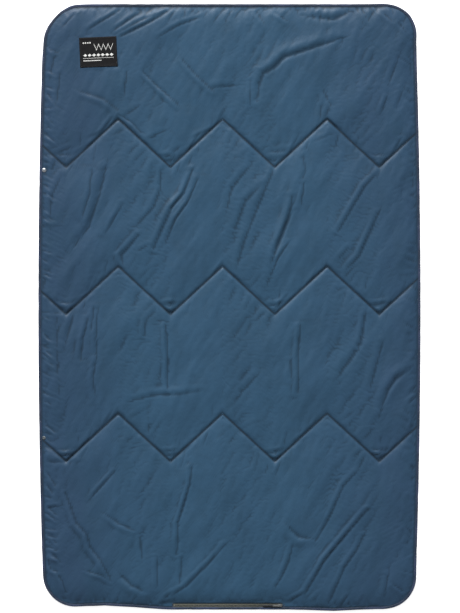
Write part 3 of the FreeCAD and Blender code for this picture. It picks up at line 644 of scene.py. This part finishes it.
x, y = laid_out(0.0051)
z = face_height(x, y)
x, y, z = relaxed(x, y, z)
# painted shade for creases and seams and painted highlight for ridges, from the settled cloth
shade_and_highlight = shade_and_highlight_from_relief(x, y, z)
x, y = settled(*inside_rim(x, y))
face_points = np.stack([x, y, z], -1)
cells_x = (x[:-1:2, :-1:2] + x[2::2, 2::2]) / 2
cells_y = (y[:-1:2, :-1:2] + y[2::2, 2::2]) / 2
window = (np.abs(cells_y - zip_y) < 0.006) & (cells_x > zip_left) & (cells_x < zip_right)
face_cloth = layer("face_cloth", x, y, z, under(z, cloth_thick), window, shade_and_highlight)
green_blue = (0.0232, 0.0665, 0.121, 1)
violet_blue = (0.0200, 0.0475, 0.0925, 1)
deep_blue = (0.013, 0.042, 0.074, 1)
# 0.85 sets the strength of the painted shade and highlight on the face
face_cloth.data.materials.append(shell_cloth("face_shell", green_blue, violet_blue, deep_blue, 0.85))
stands_for(face_cloth, "face_fabric")


# ------------------------ pocket
# Two layers of the same thin taffeta inside the filling, sewn to the zip's tapes and to each other
# round three sides. The blanket stuffs into it through the zip and it then turns inside out.
def lowest_near(points, x, y, cell=0.006):
    """The lowest point of a surface within about a cell of each place."""
    lowest = np.full((210, 320), 1.0)
    column = ((points[..., 0] + 0.62) / cell).astype(int)
    row = ((points[..., 1] + 0.95) / cell).astype(int)
    np.minimum.at(lowest, (column, row), points[..., 2])
    near = [np.roll(lowest, (a, b), (0, 1)) for a in (-1, 0, 1) for b in (-1, 0, 1)]
    return np.min(near, axis=0)[((x + 0.62) / cell).astype(int), ((y + 0.95) / cell).astype(int)]


pocket_low, pocket_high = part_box("pocket_back_panel")
across = np.linspace(pocket_low.x, pocket_high.x, 69)
x, y = np.meshgrid(across, np.linspace(pocket_low.y, pocket_high.y, 53))
pocket_top = lowest_near(face_points, x, y) - 0.0008
pocket_top = np.minimum(pocket_top, 0.0051 + 0.0100 * smooth(y, zip_y + 0.014, zip_y + 0.050))
material, shader, here = finish("pocket_lining", Roughness=0.5, Sheen_Weight=0.1)
tone = here.noise(30.0, 3.0).mix((0.05, 0.07, 0.09, 1), (0.035, 0.05, 0.07, 1))
feed(shader, Base_Color=tone, Normal=woven(here, 0.0003, 0.0003).bump(0.00006, 0.5))
for name, drop in (("pocket_front", 0.0), ("pocket_back", 0.0009)):
    z = pocket_top - drop
    panel = layer(name, x, y, z, under(z, 0.0001))
    panel.data.materials.append(material)
    stands_for(panel, name + "_panel")


# ------------------------ filling
# One layer of polyester wadding as large as the blanket, held between the two shells by the
# quilting. It is thin along the stitch lines and lofty between them.
x, y = laid_out(0.0105)
x = x * 0.9965
y = y * 0.9978
from_zip_middle = np.abs(x + 0.0035)
in_pocket = smooth(0.185 - from_zip_middle, 0, 0.008) * smooth(-0.632 - y, 0, 0.008)
top = lowest_near(face_points, *settled(x, y)) - 0.0007 - 0.0022 * in_pocket
at_zip = (from_zip_middle < 0.19) & (y < zip_y + 0.026)
top = np.where(at_zip, np.minimum(top, 0.0041), top)
for middle in snap_middles:
    top = np.where(np.hypot(x - middle.x, y - middle.y) < 0.012, 0.0046, top)


def back_depth(x, y):
    """How far the underside is drawn up from the surface it lies on."""
    row = from_row(x, y)
    edge = from_edge(x, y)
    by_row = 1 - np.exp(-(row / 0.022) ** 1.4)
    by_edge = 1 - np.exp(-(np.clip(edge - 0.008, 0, None) / 0.030) ** 1.3)
    z = 0.0036 * (1 - by_row * by_edge)
    for middle in snap_middles:
        held = smooth(np.hypot(x - middle.x, y - middle.y), 0.008, 0.018)
        z = 0.0036 + (z - 0.0036) * held
    return z


bottom = np.minimum(back_depth(x, y) + 0.0005, top - 0.0004)
spread_x, spread_y = settled(x, y)
filling = layer("filling", spread_x, spread_y, top, bottom[::2, ::2])
material, shader, here = finish("wadding", Roughness=0.9, Sheen_Weight=0.3)
fibres = here.noise(600.0, 4.0, 0.7)
tone = fibres.mix((0.72, 0.72, 0.70, 1), (0.85, 0.85, 0.84, 1))
feed(shader, Base_Color=tone, Normal=fibres.bump(0.0008, 0.6))
filling.data.materials.append(material)
stands_for(filling, "insulation_batt")


# ------------------------ back cloth
# The lower shell, the same taffeta in a darker dye. The blanket's weight flattens its puffs on
# the floor, and it is drawn up along the stitch lines and round the hem.
x, y = laid_out(0.0080)
row = from_row(x, y)
edge = from_edge(x, y)
crumple = 0.0007 * rough(x, y, 0.03, 0.09, 40, slant=0.9, stretch=2.0)
gathers = waves_along(x + 0.5 * y, (0.017, 0), (0.026, 2))
crumple += 0.0004 * gathers * (np.exp(-row / 0.014) + np.exp(-edge / 0.030))
loose = smooth(row, 0, 0.008) * smooth(edge, 0.009, 0.022)
for middle in snap_middles:
    loose = loose * smooth(np.hypot(x - middle.x, y - middle.y), 0.009, 0.018)
z = np.clip(back_depth(x, y) + crumple * loose, 0.0, None)
x, y = settled(*inside_rim(x, y))
back_cloth = layer("back_cloth", x, y, z, -under(-z, cloth_thick))
dark_blue = (0.020, 0.036, 0.062, 1)
dark_violet = (0.018, 0.028, 0.058, 1)
back_cloth.data.materials.append(
    shell_cloth("back_shell", dark_blue, dark_violet, (0.011, 0.020, 0.036, 1), 0.0)
)
stands_for(back_cloth, "back_fabric")


# ------------------------ edge binding
# Woven nylon tape folded over the raw edge of all the layers and sewn through, legs about 7.5 mm
# deep. The thread pulls it into small waves and the fold wanders a little.
side_y = np.linspace(corner - half_length, half_length - corner, 400)
bend = np.linspace(0, math.pi / 2, 60)[1:]
bend_y = half_length - corner + corner * np.sin(bend)
quarter = np.stack([edge_x(bend_y), bend_y], 1)
right = np.concatenate([np.stack([edge_x(side_y), side_y], 1), quarter])
across_top = np.stack([np.linspace(quarter[-1][0], -quarter[-1][0], 260), np.full(260, half_length)], 1)[1:]
half_round = np.concatenate([right, across_top])
left_corner = (quarter * (-1, 1))[::-1][1:]
loop = np.concatenate([half_round, left_corner])
loop = np.concatenate([loop, -loop[1:]])
lengths = np.concatenate([[0], np.cumsum(np.hypot(*np.diff(loop, axis=0).T))])
hem_length = lengths[-1]
distance = np.linspace(0, hem_length, 1441)
hem = np.stack([np.interp(distance, lengths, loop[:, axis]) for axis in (0, 1)], 1)
forward = np.roll(hem[:-1], -1, axis=0) - np.roll(hem[:-1], 1, axis=0)
forward = np.concatenate([forward, forward[:1]])
forward /= np.hypot(*forward.T)[:, None]
inward = np.stack([-forward[:, 1], forward[:, 0]], 1)


def round_wave(count, low, high):
    """An irregular wave that meets itself after one turn of the hem."""
    total = np.zeros_like(distance)
    for _ in range(count):
        cycles = round(hem_length / random.uniform(low, high))
        total += np.cos(2 * math.pi * cycles * distance / hem_length + random.uniform(0, 6.28))
    return total / math.sqrt(count)


wander = 0.00028 * round_wave(16, 0.04, 0.16)
ripple_size = 0.00014
ripple = ripple_size * round_wave(20, 0.012, 0.026)
puffed = 0.00028 * round_wave(16, 0.014, 0.050)
fold_level = 0.00485
section = [
    (1.00, 6.30), (0.90, 6.42), (0.74, 6.36), (0.56, 6.52), (0.34, 6.56), (0.17, 6.36), (0.06, 5.86),
    (0.00, 4.85), (0.06, 3.75), (0.17, 3.20), (0.34, 3.02), (0.56, 3.04), (0.74, 3.18), (0.90, 3.10),
    (1.00, 3.30), (1.00, 3.58), (0.74, 3.55), (0.34, 3.50), (0.14, 3.90), (0.06, 4.85), (0.14, 5.70),
    (0.34, 6.10), (0.74, 6.05), (1.00, 6.02), (1.00, 6.30),
]
share = np.array([a for a, _ in section])
level = np.array([b / 1000 for _, b in section])
side_of = np.where(level > fold_level, 1.0, -1.0)
inset = leg * share + 0.0002 * share * ripple[:, None] / ripple_size + wander[:, None] * (1 - share)
inset = np.clip(inset, 0.0, None)
free = np.sin(math.pi * np.clip(share, 0, 0.74) / 0.74)
height = level + side_of * puffed[:, None] * free + ripple[:, None] * np.where(share > 0.8, 0.9, 0.25)
height = np.where(side_of < 0, np.maximum(height, 0.0026), height)
bx, by = settled(hem[:, :1] + inward[:, :1] * inset, hem[:, 1:] + inward[:, 1:] * inset)
binding = open_grid("edge_binding_tape", bx, by, height)
bm = bmesh.new()
bm.from_mesh(binding.data)
bmesh.ops.remove_doubles(bm, verts=bm.verts, dist=1e-6)
rounded_off(bm)
bm.to_mesh(binding.data)
bm.free()
material, shader, here = finish("binding_tape", Sheen_Weight=0.2, Sheen_Roughness=0.4, IOR=1.4)
rib_turns = 2 * math.pi / 0.0009
ribs = ((here.part("X") + here.part("Y")) * rib_turns).sine() * 0.5 + 0.5
cross_ribs = ((here.part("X") - here.part("Y")) * rib_turns).sine() * 0.5 + 0.5
weave = ribs * cross_ribs
# random blotches, lighter and more violet, which also vary the roughness
blotches = here.noise(16.0, 4.0, 0.55)
lighter_blotches = blotches.step(0.35, 0.70) * 0.8 + weave * 0.15
colour = lighter_blotches.mix((0.010, 0.020, 0.040, 1), (0.026, 0.040, 0.090, 1))
feed(shader, Base_Color=colour, Roughness=0.42 + 0.2 * blotches, Normal=weave.bump(0.00012, 0.7))
binding.data.materials.append(material)
stands_for(binding, "edge_binding")


# ------------------------ quilting and hem stitches
# Lockstitch in bonded polyester thread: three zigzag rows through all the layers, and one row
# 5.5 mm in from the fold that holds the binding. Each stitch shows as one short raised bead.
def thread_finish(name, dark, light):
    material, shader, here = finish(name, Sheen_Weight=0.1, IOR=1.45)
    strands = here.noise(1800.0, 2.0)
    tint = here.noise(60.0, 2.0)
    feed(shader, Base_Color=(0.5 * strands + 0.5 * tint).mix(dark, light), Roughness=0.45 + 0.2 * strands)
    feed(shader, Normal=strands.bump(0.00008, 0.6))
    return material


def bead():
    """A ball of radius 1 with its poles along X, simple enough to repeat thousands of times."""
    bm = bmesh.new()
    bmesh.ops.create_uvsphere(bm, u_segments=6, v_segments=4, radius=1)
    bmesh.ops.rotate(bm, verts=bm.verts, matrix=Matrix.Rotation(math.pi / 2, 3, "Y"))
    rounded_off(bm)
    return mesh_of("bead", bm)


def beads(name, middles, directions, half, thick, flat=0.8):
    """Many copies of one bead: its length follows a direction, half and thick are its half sizes."""
    shape = bead()
    bm = bmesh.new()
    for _ in range(len(middles)):
        bm.from_mesh(shape)
    mesh = mesh_of(name, bm)
    corners = np.empty(len(shape.vertices) * 3, np.float32)
    shape.vertices.foreach_get("co", corners)
    corners = corners.reshape(-1, 3)
    middles = np.asarray(middles, float)
    ahead = np.asarray(directions, float)
    ahead = ahead / np.linalg.norm(ahead, axis=1)[:, None]
    aside = np.stack([-ahead[:, 1], ahead[:, 0], np.zeros(len(ahead))], 1)
    aside /= np.linalg.norm(aside, axis=1)[:, None]
    upward = np.cross(ahead, aside)
    half = np.broadcast_to(half, len(middles))[:, None, None]
    thick = np.broadcast_to(thick, len(middles))[:, None, None]
    points = middles[:, None] + ahead[:, None] * corners[None, :, :1] * half
    points = points + aside[:, None] * corners[None, :, 1:2] * thick
    points = points + upward[:, None] * corners[None, :, 2:] * thick * flat
    mesh.vertices.foreach_set("co", points.astype(np.float32).ravel())
    bpy.data.meshes.remove(shape)
    return placed(name, mesh)


def stitch_places(points, spacing):
    """Even places along a line of points, with the way the line runs there."""
    points = np.asarray(points, float)
    run = np.concatenate([[0], np.cumsum(np.linalg.norm(np.diff(points, axis=0), axis=1))])
    count = int(run[-1] / spacing)
    at = (np.arange(count) + 0.5) * run[-1] / count
    back, front = (
        np.stack([np.interp(at + shift, run, points[:, axis]) for axis in range(3)], 1)
        for shift in (-0.0008, 0.0008)
    )
    return (back + front) / 2, front - back


stitch = 0.0030
quilt_thread = thread_finish("quilting_thread", (0.006, 0.012, 0.022, 1), (0.016, 0.030, 0.055, 1))
for middle, node in zip(row_heights, ("quilting_upper", "quilting_middle", "quilting_lower")):
    qx = np.linspace(-edge_x(middle) + leg, edge_x(middle) - leg, 2400)
    qy = middle + rise / 2 * zigzag(qx)
    sx, sy = settled(qx, qy)
    top_places, top_ways = stitch_places(np.stack([sx, sy, np.full_like(sx, thread_level)], 1), stitch)
    low_places, low_ways = stitch_places(np.stack([sx, sy, np.full_like(sx, 0.00355)], 1), stitch)
    places = np.concatenate([top_places, low_places])
    ways = np.concatenate([top_ways, low_ways])
    jitter = random.normal(0, 0.00006, (len(places), 2))
    places[:, :2] += jitter
    row_piece = beads(node + "_stitches", places, ways, 0.00135, 0.00027)
    row_piece.data.materials.append(quilt_thread)
    stands_for(row_piece, node)

line = hem + inward * 0.0055
line_x, line_y = settled(line[:, 0], line[:, 1])
top_places, top_ways = stitch_places(np.stack([line_x, line_y, 0.00640 + ripple * 0.3], 1), 0.0032)
low_places, low_ways = stitch_places(np.stack([line_x, line_y, np.full_like(line_x, 0.00312)], 1), 0.0032)
places = np.concatenate([top_places, low_places])
ways = np.concatenate([top_ways, low_ways])
hem_stitches = beads("hem_stitches", places, ways, 0.00140, 0.00026)
hem_stitches.data.materials.append(quilt_thread)
stands_for(hem_stitches, "binding_stitching")

pocket_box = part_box("pocket_stitching")
low, high = pocket_box
corners = [(low.x, low.y), (low.x, high.y), (high.x, high.y), (high.x, low.y)]
route = np.concatenate([np.linspace(a, b, 60) for a, b in zip(corners[:-1], corners[1:])])
route_z = lowest_near(face_points, route[:, 0], route[:, 1]) - 0.0011
pocket_places, pocket_ways = stitch_places(np.column_stack([route, route_z]), 0.0040)
pocket_stitches = beads("pocket_stitches", pocket_places, pocket_ways, 0.0017, 0.00024)
pocket_stitches.data.materials.append(quilt_thread)
stands_for(pocket_stitches, "pocket_stitching")


# ------------------------ woven label
# A black woven damask label with its edges folded under, topstitched to the face cloth. Its
# pattern of diamonds, a zigzag line and two bars is woven in raised white floats.
label_wide = 0.111
label_tall = 0.089
u, v = np.meshgrid(np.linspace(-0.5, 0.5, 79), np.linspace(-0.5, 0.5, 63))


def on_label(u, v):
    """A place on the tilted label, from metres right of and above its middle."""
    x = label_middle.x + u * math.cos(label_tilt) - v * math.sin(label_tilt)
    y = label_middle.y + u * math.sin(label_tilt) + v * math.cos(label_tilt)
    return x, y


x, y = on_label(u * label_wide, v * label_tall)
upside = face_points * (1, 1, -1)
z = -lowest_near(upside, x, y)
for _ in range(4):
    z = np.mean(windows(z), axis=0)
rim_in = np.minimum(0.5 - np.abs(u), 0.5 - np.abs(v)) * label_tall
z = z + 0.00045 + 0.00025 * (1 - smooth(rim_in, 0.006, 0.0075)) - 0.0003 * (1 - smooth(rim_in, 0.0, 0.0012))
z += 0.00012 * rough(x, y, 0.012, 0.03, 20) * smooth(rim_in, 0.004, 0.012)
label_z = z
label = layer("label", x, y, z, under(z, 0.0004))
material, shader, here = finish("label_weave", IOR=1.25)
yarn = woven(here, 0.00045, 0.00030)
dusty = here.noise(90.0, 4.0, 0.6)
colour = (0.35 * yarn + 0.5 * dusty).mix((0.0020, 0.0020, 0.0024, 1), (0.0090, 0.0090, 0.0105, 1))
feed(shader, Base_Color=colour, Roughness=0.62 + 0.2 * dusty, Normal=yarn.bump(0.00012, 0.8))
label.data.materials.append(material)
stands_for(label, "label_patch")


def label_height(u, v):
    column = (u / label_wide + 0.5) * (label_z.shape[1] - 1)
    row = (v / label_tall + 0.5) * (label_z.shape[0] - 1)
    return label_z[np.rint(row).astype(int), np.rint(column).astype(int)]


spots = []
for number in range(-3, 4):
    for offset in np.arange(-5.25, 5.3, 0.5):
        reach = 7.0 * (1 - abs(offset) / 5.6)
        spots.append((number * 13.0 + offset * 1.05, -9.0, reach * 0.8))
for offset in np.arange(-45.0, 8.0, 0.6):
    spots.append((offset, -25.0, 1.1 + 0.9 * (int(offset + 60) % 3 == 0)))
for offset in np.arange(-45.0, 45.1, 0.6):
    spots.append((offset, -17.6, 0.7))
for number in range(4):
    for offset in np.arange(-2.4, 2.5, 0.5):
        spots.append((-43.0 + number * 6.6 + offset, 28.0, 3.4 * (1 - abs(offset) / 2.8)))
for offset in np.arange(-12.0, 44.1, 0.5):
    peak = abs((offset + 12.0) / 14.0 % 1.0 - 0.5) * 2
    spots.append((offset, 6.0 + 17.0 * peak, 1.9))
spots = np.array(spots) / 1000
spot_z = label_height(spots[:, 0], spots[:, 1]) + 0.00008
spot_x, spot_y = on_label(spots[:, 0], spots[:, 1])
up_label = np.array([-math.sin(label_tilt), math.cos(label_tilt), 0])
motif = beads(
    "label_pattern", np.column_stack([spot_x, spot_y, spot_z]), np.tile(up_label, (len(spots), 1)),
    spots[:, 2], 0.00034, flat=0.6,
)
motif.data.materials.append(thread_finish("label_floats", (0.55, 0.55, 0.53, 1), (0.78, 0.78, 0.76, 1)))
stands_for(motif, "label_motif")

a = label_wide / 2 - 0.0028
b = label_tall / 2 - 0.0028
corners = [(-a, -b), (a, -b), (a, b), (-a, b), (-a, -b)]
route = np.concatenate([np.linspace(p, q, 80) for p, q in zip(corners[:-1], corners[1:])])
rx, ry = on_label(route[:, 0], route[:, 1])
rz = label_height(route[:, 0], route[:, 1]) + 0.00010
places, ways = stitch_places(np.column_stack([rx, ry, rz]), 0.0027)
label_stitches = beads("label_stitches", places, ways, 0.0012, 0.00024)
label_thread = thread_finish("label_thread", (0.006, 0.006, 0.008, 1), (0.03, 0.03, 0.034, 1))
label_stitches.data.materials.append(label_thread)
stands_for(label_stitches, "label_stitching")


# ------------------------ zip
# A light nylon coil zip in the hem that opens the pocket: two woven tapes under the slit's edges,
# a coil on each, crimped stops, bar tacks, and a painted slider whose pull has a ribbon loop.
material, shader, here = finish("zip_tape", IOR=1.4)
herringbone = ((here.part("X") + here.part("Y").size() * 0.8) * (2 * math.pi / 0.0011)).sine() * 0.5 + 0.5
grime = here.noise(55.0, 4.0, 0.6)
# painted shade: the tape darkens towards its right end
shaded_right_end = here.part("X").step(-0.02, 0.16)
colour = (0.4 * herringbone + 0.4 * grime).mix((0.075, 0.078, 0.060, 1), (0.120, 0.122, 0.098, 1))
colour = shaded_right_end.mix(colour, (0.050, 0.052, 0.040, 1))
feed(shader, Base_Color=colour, Roughness=0.6 + 0.2 * grime, Normal=herringbone.bump(0.0002, 0.7))
tape_finish = material
for side in ("upper", "lower"):
    low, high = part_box("zip_tape_" + side)
    x, y = np.meshgrid(np.linspace(low.x, high.x, 241), np.linspace(low.y, high.y, 13))
    near_coil = np.abs(y - zip_y)
    z = high.z + 0.00012 * rough(x, y, 0.02, 0.05, 12) * smooth(near_coil, 0.002, 0.006)
    z -= 0.00025 * (1 - smooth(near_coil, 0.0006, 0.0016))
    z = np.minimum(z, high.z)
    tape = layer("zip_tape_" + side + "_cloth", x, y, z, np.full(x[::2, ::2].shape, low.z))
    tape.data.materials.append(tape_finish)
    stands_for(tape, "zip_tape_" + side)

material, shader, here = finish("zip_coil", IOR=1.45)
rubbed = here.noise(120.0, 3.0)
# painted shade: the coil darkens towards its right end
shaded_right_end = here.part("X").step(-0.02, 0.16)
colour = shaded_right_end.mix(rubbed.mix((0.105, 0.108, 0.088, 1), (0.150, 0.150, 0.125, 1)), (0.062, 0.063, 0.050, 1))
feed(shader, Base_Color=colour, Roughness=0.34 + 0.2 * rubbed)
for side, way in (("upper", 1.0), ("lower", -1.0)):
    low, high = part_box("zip_coil_" + side)
    tooth = 0.00125
    across = np.arange(low.x + 0.0005, high.x - 0.0003, tooth) + (0.0 if way > 0 else tooth / 2)
    places = []
    ways = []
    halves = []
    for lift, lean in ((0.00705, 0.16), (0.00615, -0.16)):
        for at in across:
            places.append((at, (low.y + high.y) / 2 - way * 0.0001, lift))
            ways.append((lean, way, 0.0))
            halves.append(0.00092)
    for at in across:
        places.append((at, zip_y + way * 0.00075, 0.0066))
        ways.append((0.0, way * 0.25, 1.0))
        halves.append(0.00062)
    coil = beads("zip_coil_" + side + "_turns", places, ways, np.array(halves), 0.00034, flat=1.0)
    coil.data.materials.append(material)
    stands_for(coil, "zip_coil_" + side)

tape_thread = thread_finish("zip_thread", (0.008, 0.014, 0.026, 1), (0.020, 0.034, 0.060, 1))
seam_low, seam_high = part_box("zip_stitching")
corners = [
    (seam_low.x, seam_low.y), (seam_low.x, seam_high.y),
    (seam_high.x, seam_high.y), (seam_high.x, seam_low.y),
]
route = np.concatenate([np.linspace(p, q, 120) for p, q in zip(corners[:-1], corners[1:])])
places, ways = stitch_places(np.column_stack([route, np.full(len(route), 0.00620)]), 0.0027)
zip_stitches = beads("zip_stitches", places, ways, 0.0012, 0.00024)
zip_stitches.data.materials.append(tape_thread)
stands_for(zip_stitches, "zip_stitching")

tack_low, tack_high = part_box("zip_bar_tacks")
places = []
for middle in (tack_low.x + 0.001, tack_high.x - 0.001):
    for at in np.arange(tack_low.y + 0.0003, tack_high.y, 0.0005):
        places.append((middle, at, 0.00625))
ways = [(1.0, random.normal(0, 0.08), 0.0) for _ in places]
bar_tacks = beads("bar_tacks", places, ways, 0.0011, 0.00026)
bar_tacks.data.materials.append(tape_thread)
stands_for(bar_tacks, "zip_bar_tacks")

ribbon_low, ribbon_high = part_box("pull_ribbon")
s = np.linspace(0, 1, 61)[:, None] + np.zeros((1, 5))
w = np.linspace(-0.5, 0.5, 5)[None, :] * (ribbon_high.y - ribbon_low.y - 0.0002) + np.zeros((61, 1))
turn = 2 * np.abs(s - 0.5)
opened = np.sin(math.pi * np.clip(turn, 0, 1)) * 0.00018 + 0.00042 * (1 - turn ** 8)
ribbon_x = ribbon_low.x + 0.0002 + (ribbon_high.x - ribbon_low.x - 0.0008) * turn
rounded = np.sqrt(np.clip(1 - (1 - np.clip(turn / 0.06, 0, 1)) ** 2, 0, 1))
ribbon_z = 0.0090 + np.sign(s - 0.5) * (0.00022 + opened * rounded)
ribbon = open_grid("pull_ribbon_loop", ribbon_x, zip_y + w, ribbon_z)
bm = bmesh.new()
bm.from_mesh(ribbon.data)
bmesh.ops.recalc_face_normals(bm, faces=bm.faces)
bmesh.ops.solidify(bm, geom=bm.faces[:], thickness=0.00025)
rounded_off(bm)
bm.to_mesh(ribbon.data)
bm.free()
material, shader, here = finish("ribbon_weave", Sheen_Weight=0.15, IOR=1.4)
ridges = (here.part("X") * (2 * math.pi / 0.0006)).sine() * 0.5 + 0.5
tired = here.noise(200.0, 3.0)
colour = (0.3 * ridges + 0.5 * tired).mix((0.010, 0.011, 0.014, 1), (0.040, 0.042, 0.050, 1))
feed(shader, Base_Color=colour, Roughness=0.5 + 0.2 * tired, Normal=ridges.bump(0.00012, 0.8))
ribbon.data.materials.append(material)
stands_for(ribbon, "pull_ribbon", "pull")


# ------------------------ metal parts
# Die-cast zip slider, pull and crimped stops in grey enamel rubbed bright on the edges, and two
# nickel-plated or blackened brass snaps pressed through the left hem, with a wire spring and film.
def metal(name, bright, dull, rub, low_rough, high_rough):
    """Enamelled or plated metal, duller where it is stained, with fine brushed lines."""
    material, shader, here = finish(name, IOR=1.6)
    stain = here.noise(220.0, 4.0, 0.6)
    lines = here.scaled((1.0, 6.0, 1.0)).noise(1400.0, 2.0)
    feed(shader, Base_Color=(stain.step(0.35, 0.72) * rub).mix(bright, dull))
    feed(shader, Roughness=low_rough + (high_rough - low_rough) * stain)
    feed(shader, Metallic=stain.step(0.75, 0.35, 0.85, 1.0))
    feed(shader, Normal=(0.6 * lines + 0.4 * stain).bump(0.0003, 0.25))
    return material


def given(names, made):
    """Puts one material on CAD parts that keep their own shape."""
    for name in names:
        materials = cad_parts[name].data.materials
        materials.clear()
        materials.append(made)


for nodes, name, bright, dull, rub, low_rough, high_rough in (
    (("zip_slider", "zip_pull"), "slider_metal",
     (0.42, 0.43, 0.42, 1), (0.16, 0.16, 0.15, 1), 0.8, 0.25, 0.5),
    (("zip_stop_open_end", "zip_stop_closed_end"), "stop_metal",
     (0.35, 0.35, 0.33, 1), (0.12, 0.12, 0.11, 1), 0.8, 0.3, 0.5),
    (("snap_cap", "snap_socket"), "snap_nickel",
     (0.50, 0.53, 0.56, 1), (0.28, 0.31, 0.34, 1), 0.7, 0.20, 0.42),
    (("socket_spring",), "spring_wire",
     (0.62, 0.62, 0.60, 1), (0.40, 0.40, 0.38, 1), 0.6, 0.2, 0.35),
    (("snap_stud", "snap_post"), "snap_blackened",
     (0.36, 0.40, 0.42, 1), (0.10, 0.12, 0.13, 1), 0.7, 0.22, 0.42),
):
    given(nodes, metal(name, bright, dull, rub, low_rough, high_rough))

material, shader, here = finish("backing_film", Roughness=0.35)
haze = here.noise(300.0, 2.0)
tone = haze.mix((0.55, 0.56, 0.56, 1), (0.70, 0.70, 0.70, 1))
feed(shader, Base_Color=tone, Normal=haze.bump(0.0001, 0.3))
given(("snap_backing_upper", "snap_backing_lower"), material)


# ------------------------ floor, light and camera
# A white studio floor, an even white surround and one large soft lamp beyond the head end,
# with the camera high overhead and square on.
bm = bmesh.new()
bmesh.ops.create_grid(bm, x_segments=1, y_segments=1, size=12)
floor = placed("floor", mesh_of("floor", bm))
material, shader, here = finish("floor_paper", Roughness=0.8)
shader.inputs["Base Color"].default_value = (0.90, 0.90, 0.90, 1)
shader.inputs["Emission Color"].default_value = (1.0, 1.0, 1.0, 1.0)
shader.inputs["Emission Strength"].default_value = 0.70
floor.data.materials.append(material)

world = bpy.data.worlds.new("surround")
world.use_nodes = True
world.node_tree.nodes["Background"].inputs["Color"].default_value = (0.97, 0.985, 1.0, 1.0)
world.node_tree.nodes["Background"].inputs["Strength"].default_value = 0.36
bpy.context.scene.world = world
lamp = bpy.data.lights.new("head_lamp", "AREA")
lamp.shape = "RECTANGLE"
lamp.size = 10.5
lamp.size_y = 4.0
lamp.energy = 9900
lamp_object = placed("head_lamp", lamp)
lamp_object.location = (-4.4, 18.4, 11.4)
lamp_object.rotation_euler = (-lamp_object.location).to_track_quat("-Z", "Y").to_euler()

camera = bpy.data.cameras.new("camera")
camera_object = placed("camera", camera)
camera_object.location = (0.0018, 0.0009, 6.0)
camera.sensor_width = 36
seen_from = 5.992
seen_height = 1.8206
camera.lens = camera.sensor_width * seen_from / seen_height
camera.clip_start = 0.1
camera.clip_end = 50
bpy.context.scene.camera = camera_object

bpy.context.view_layer.update()
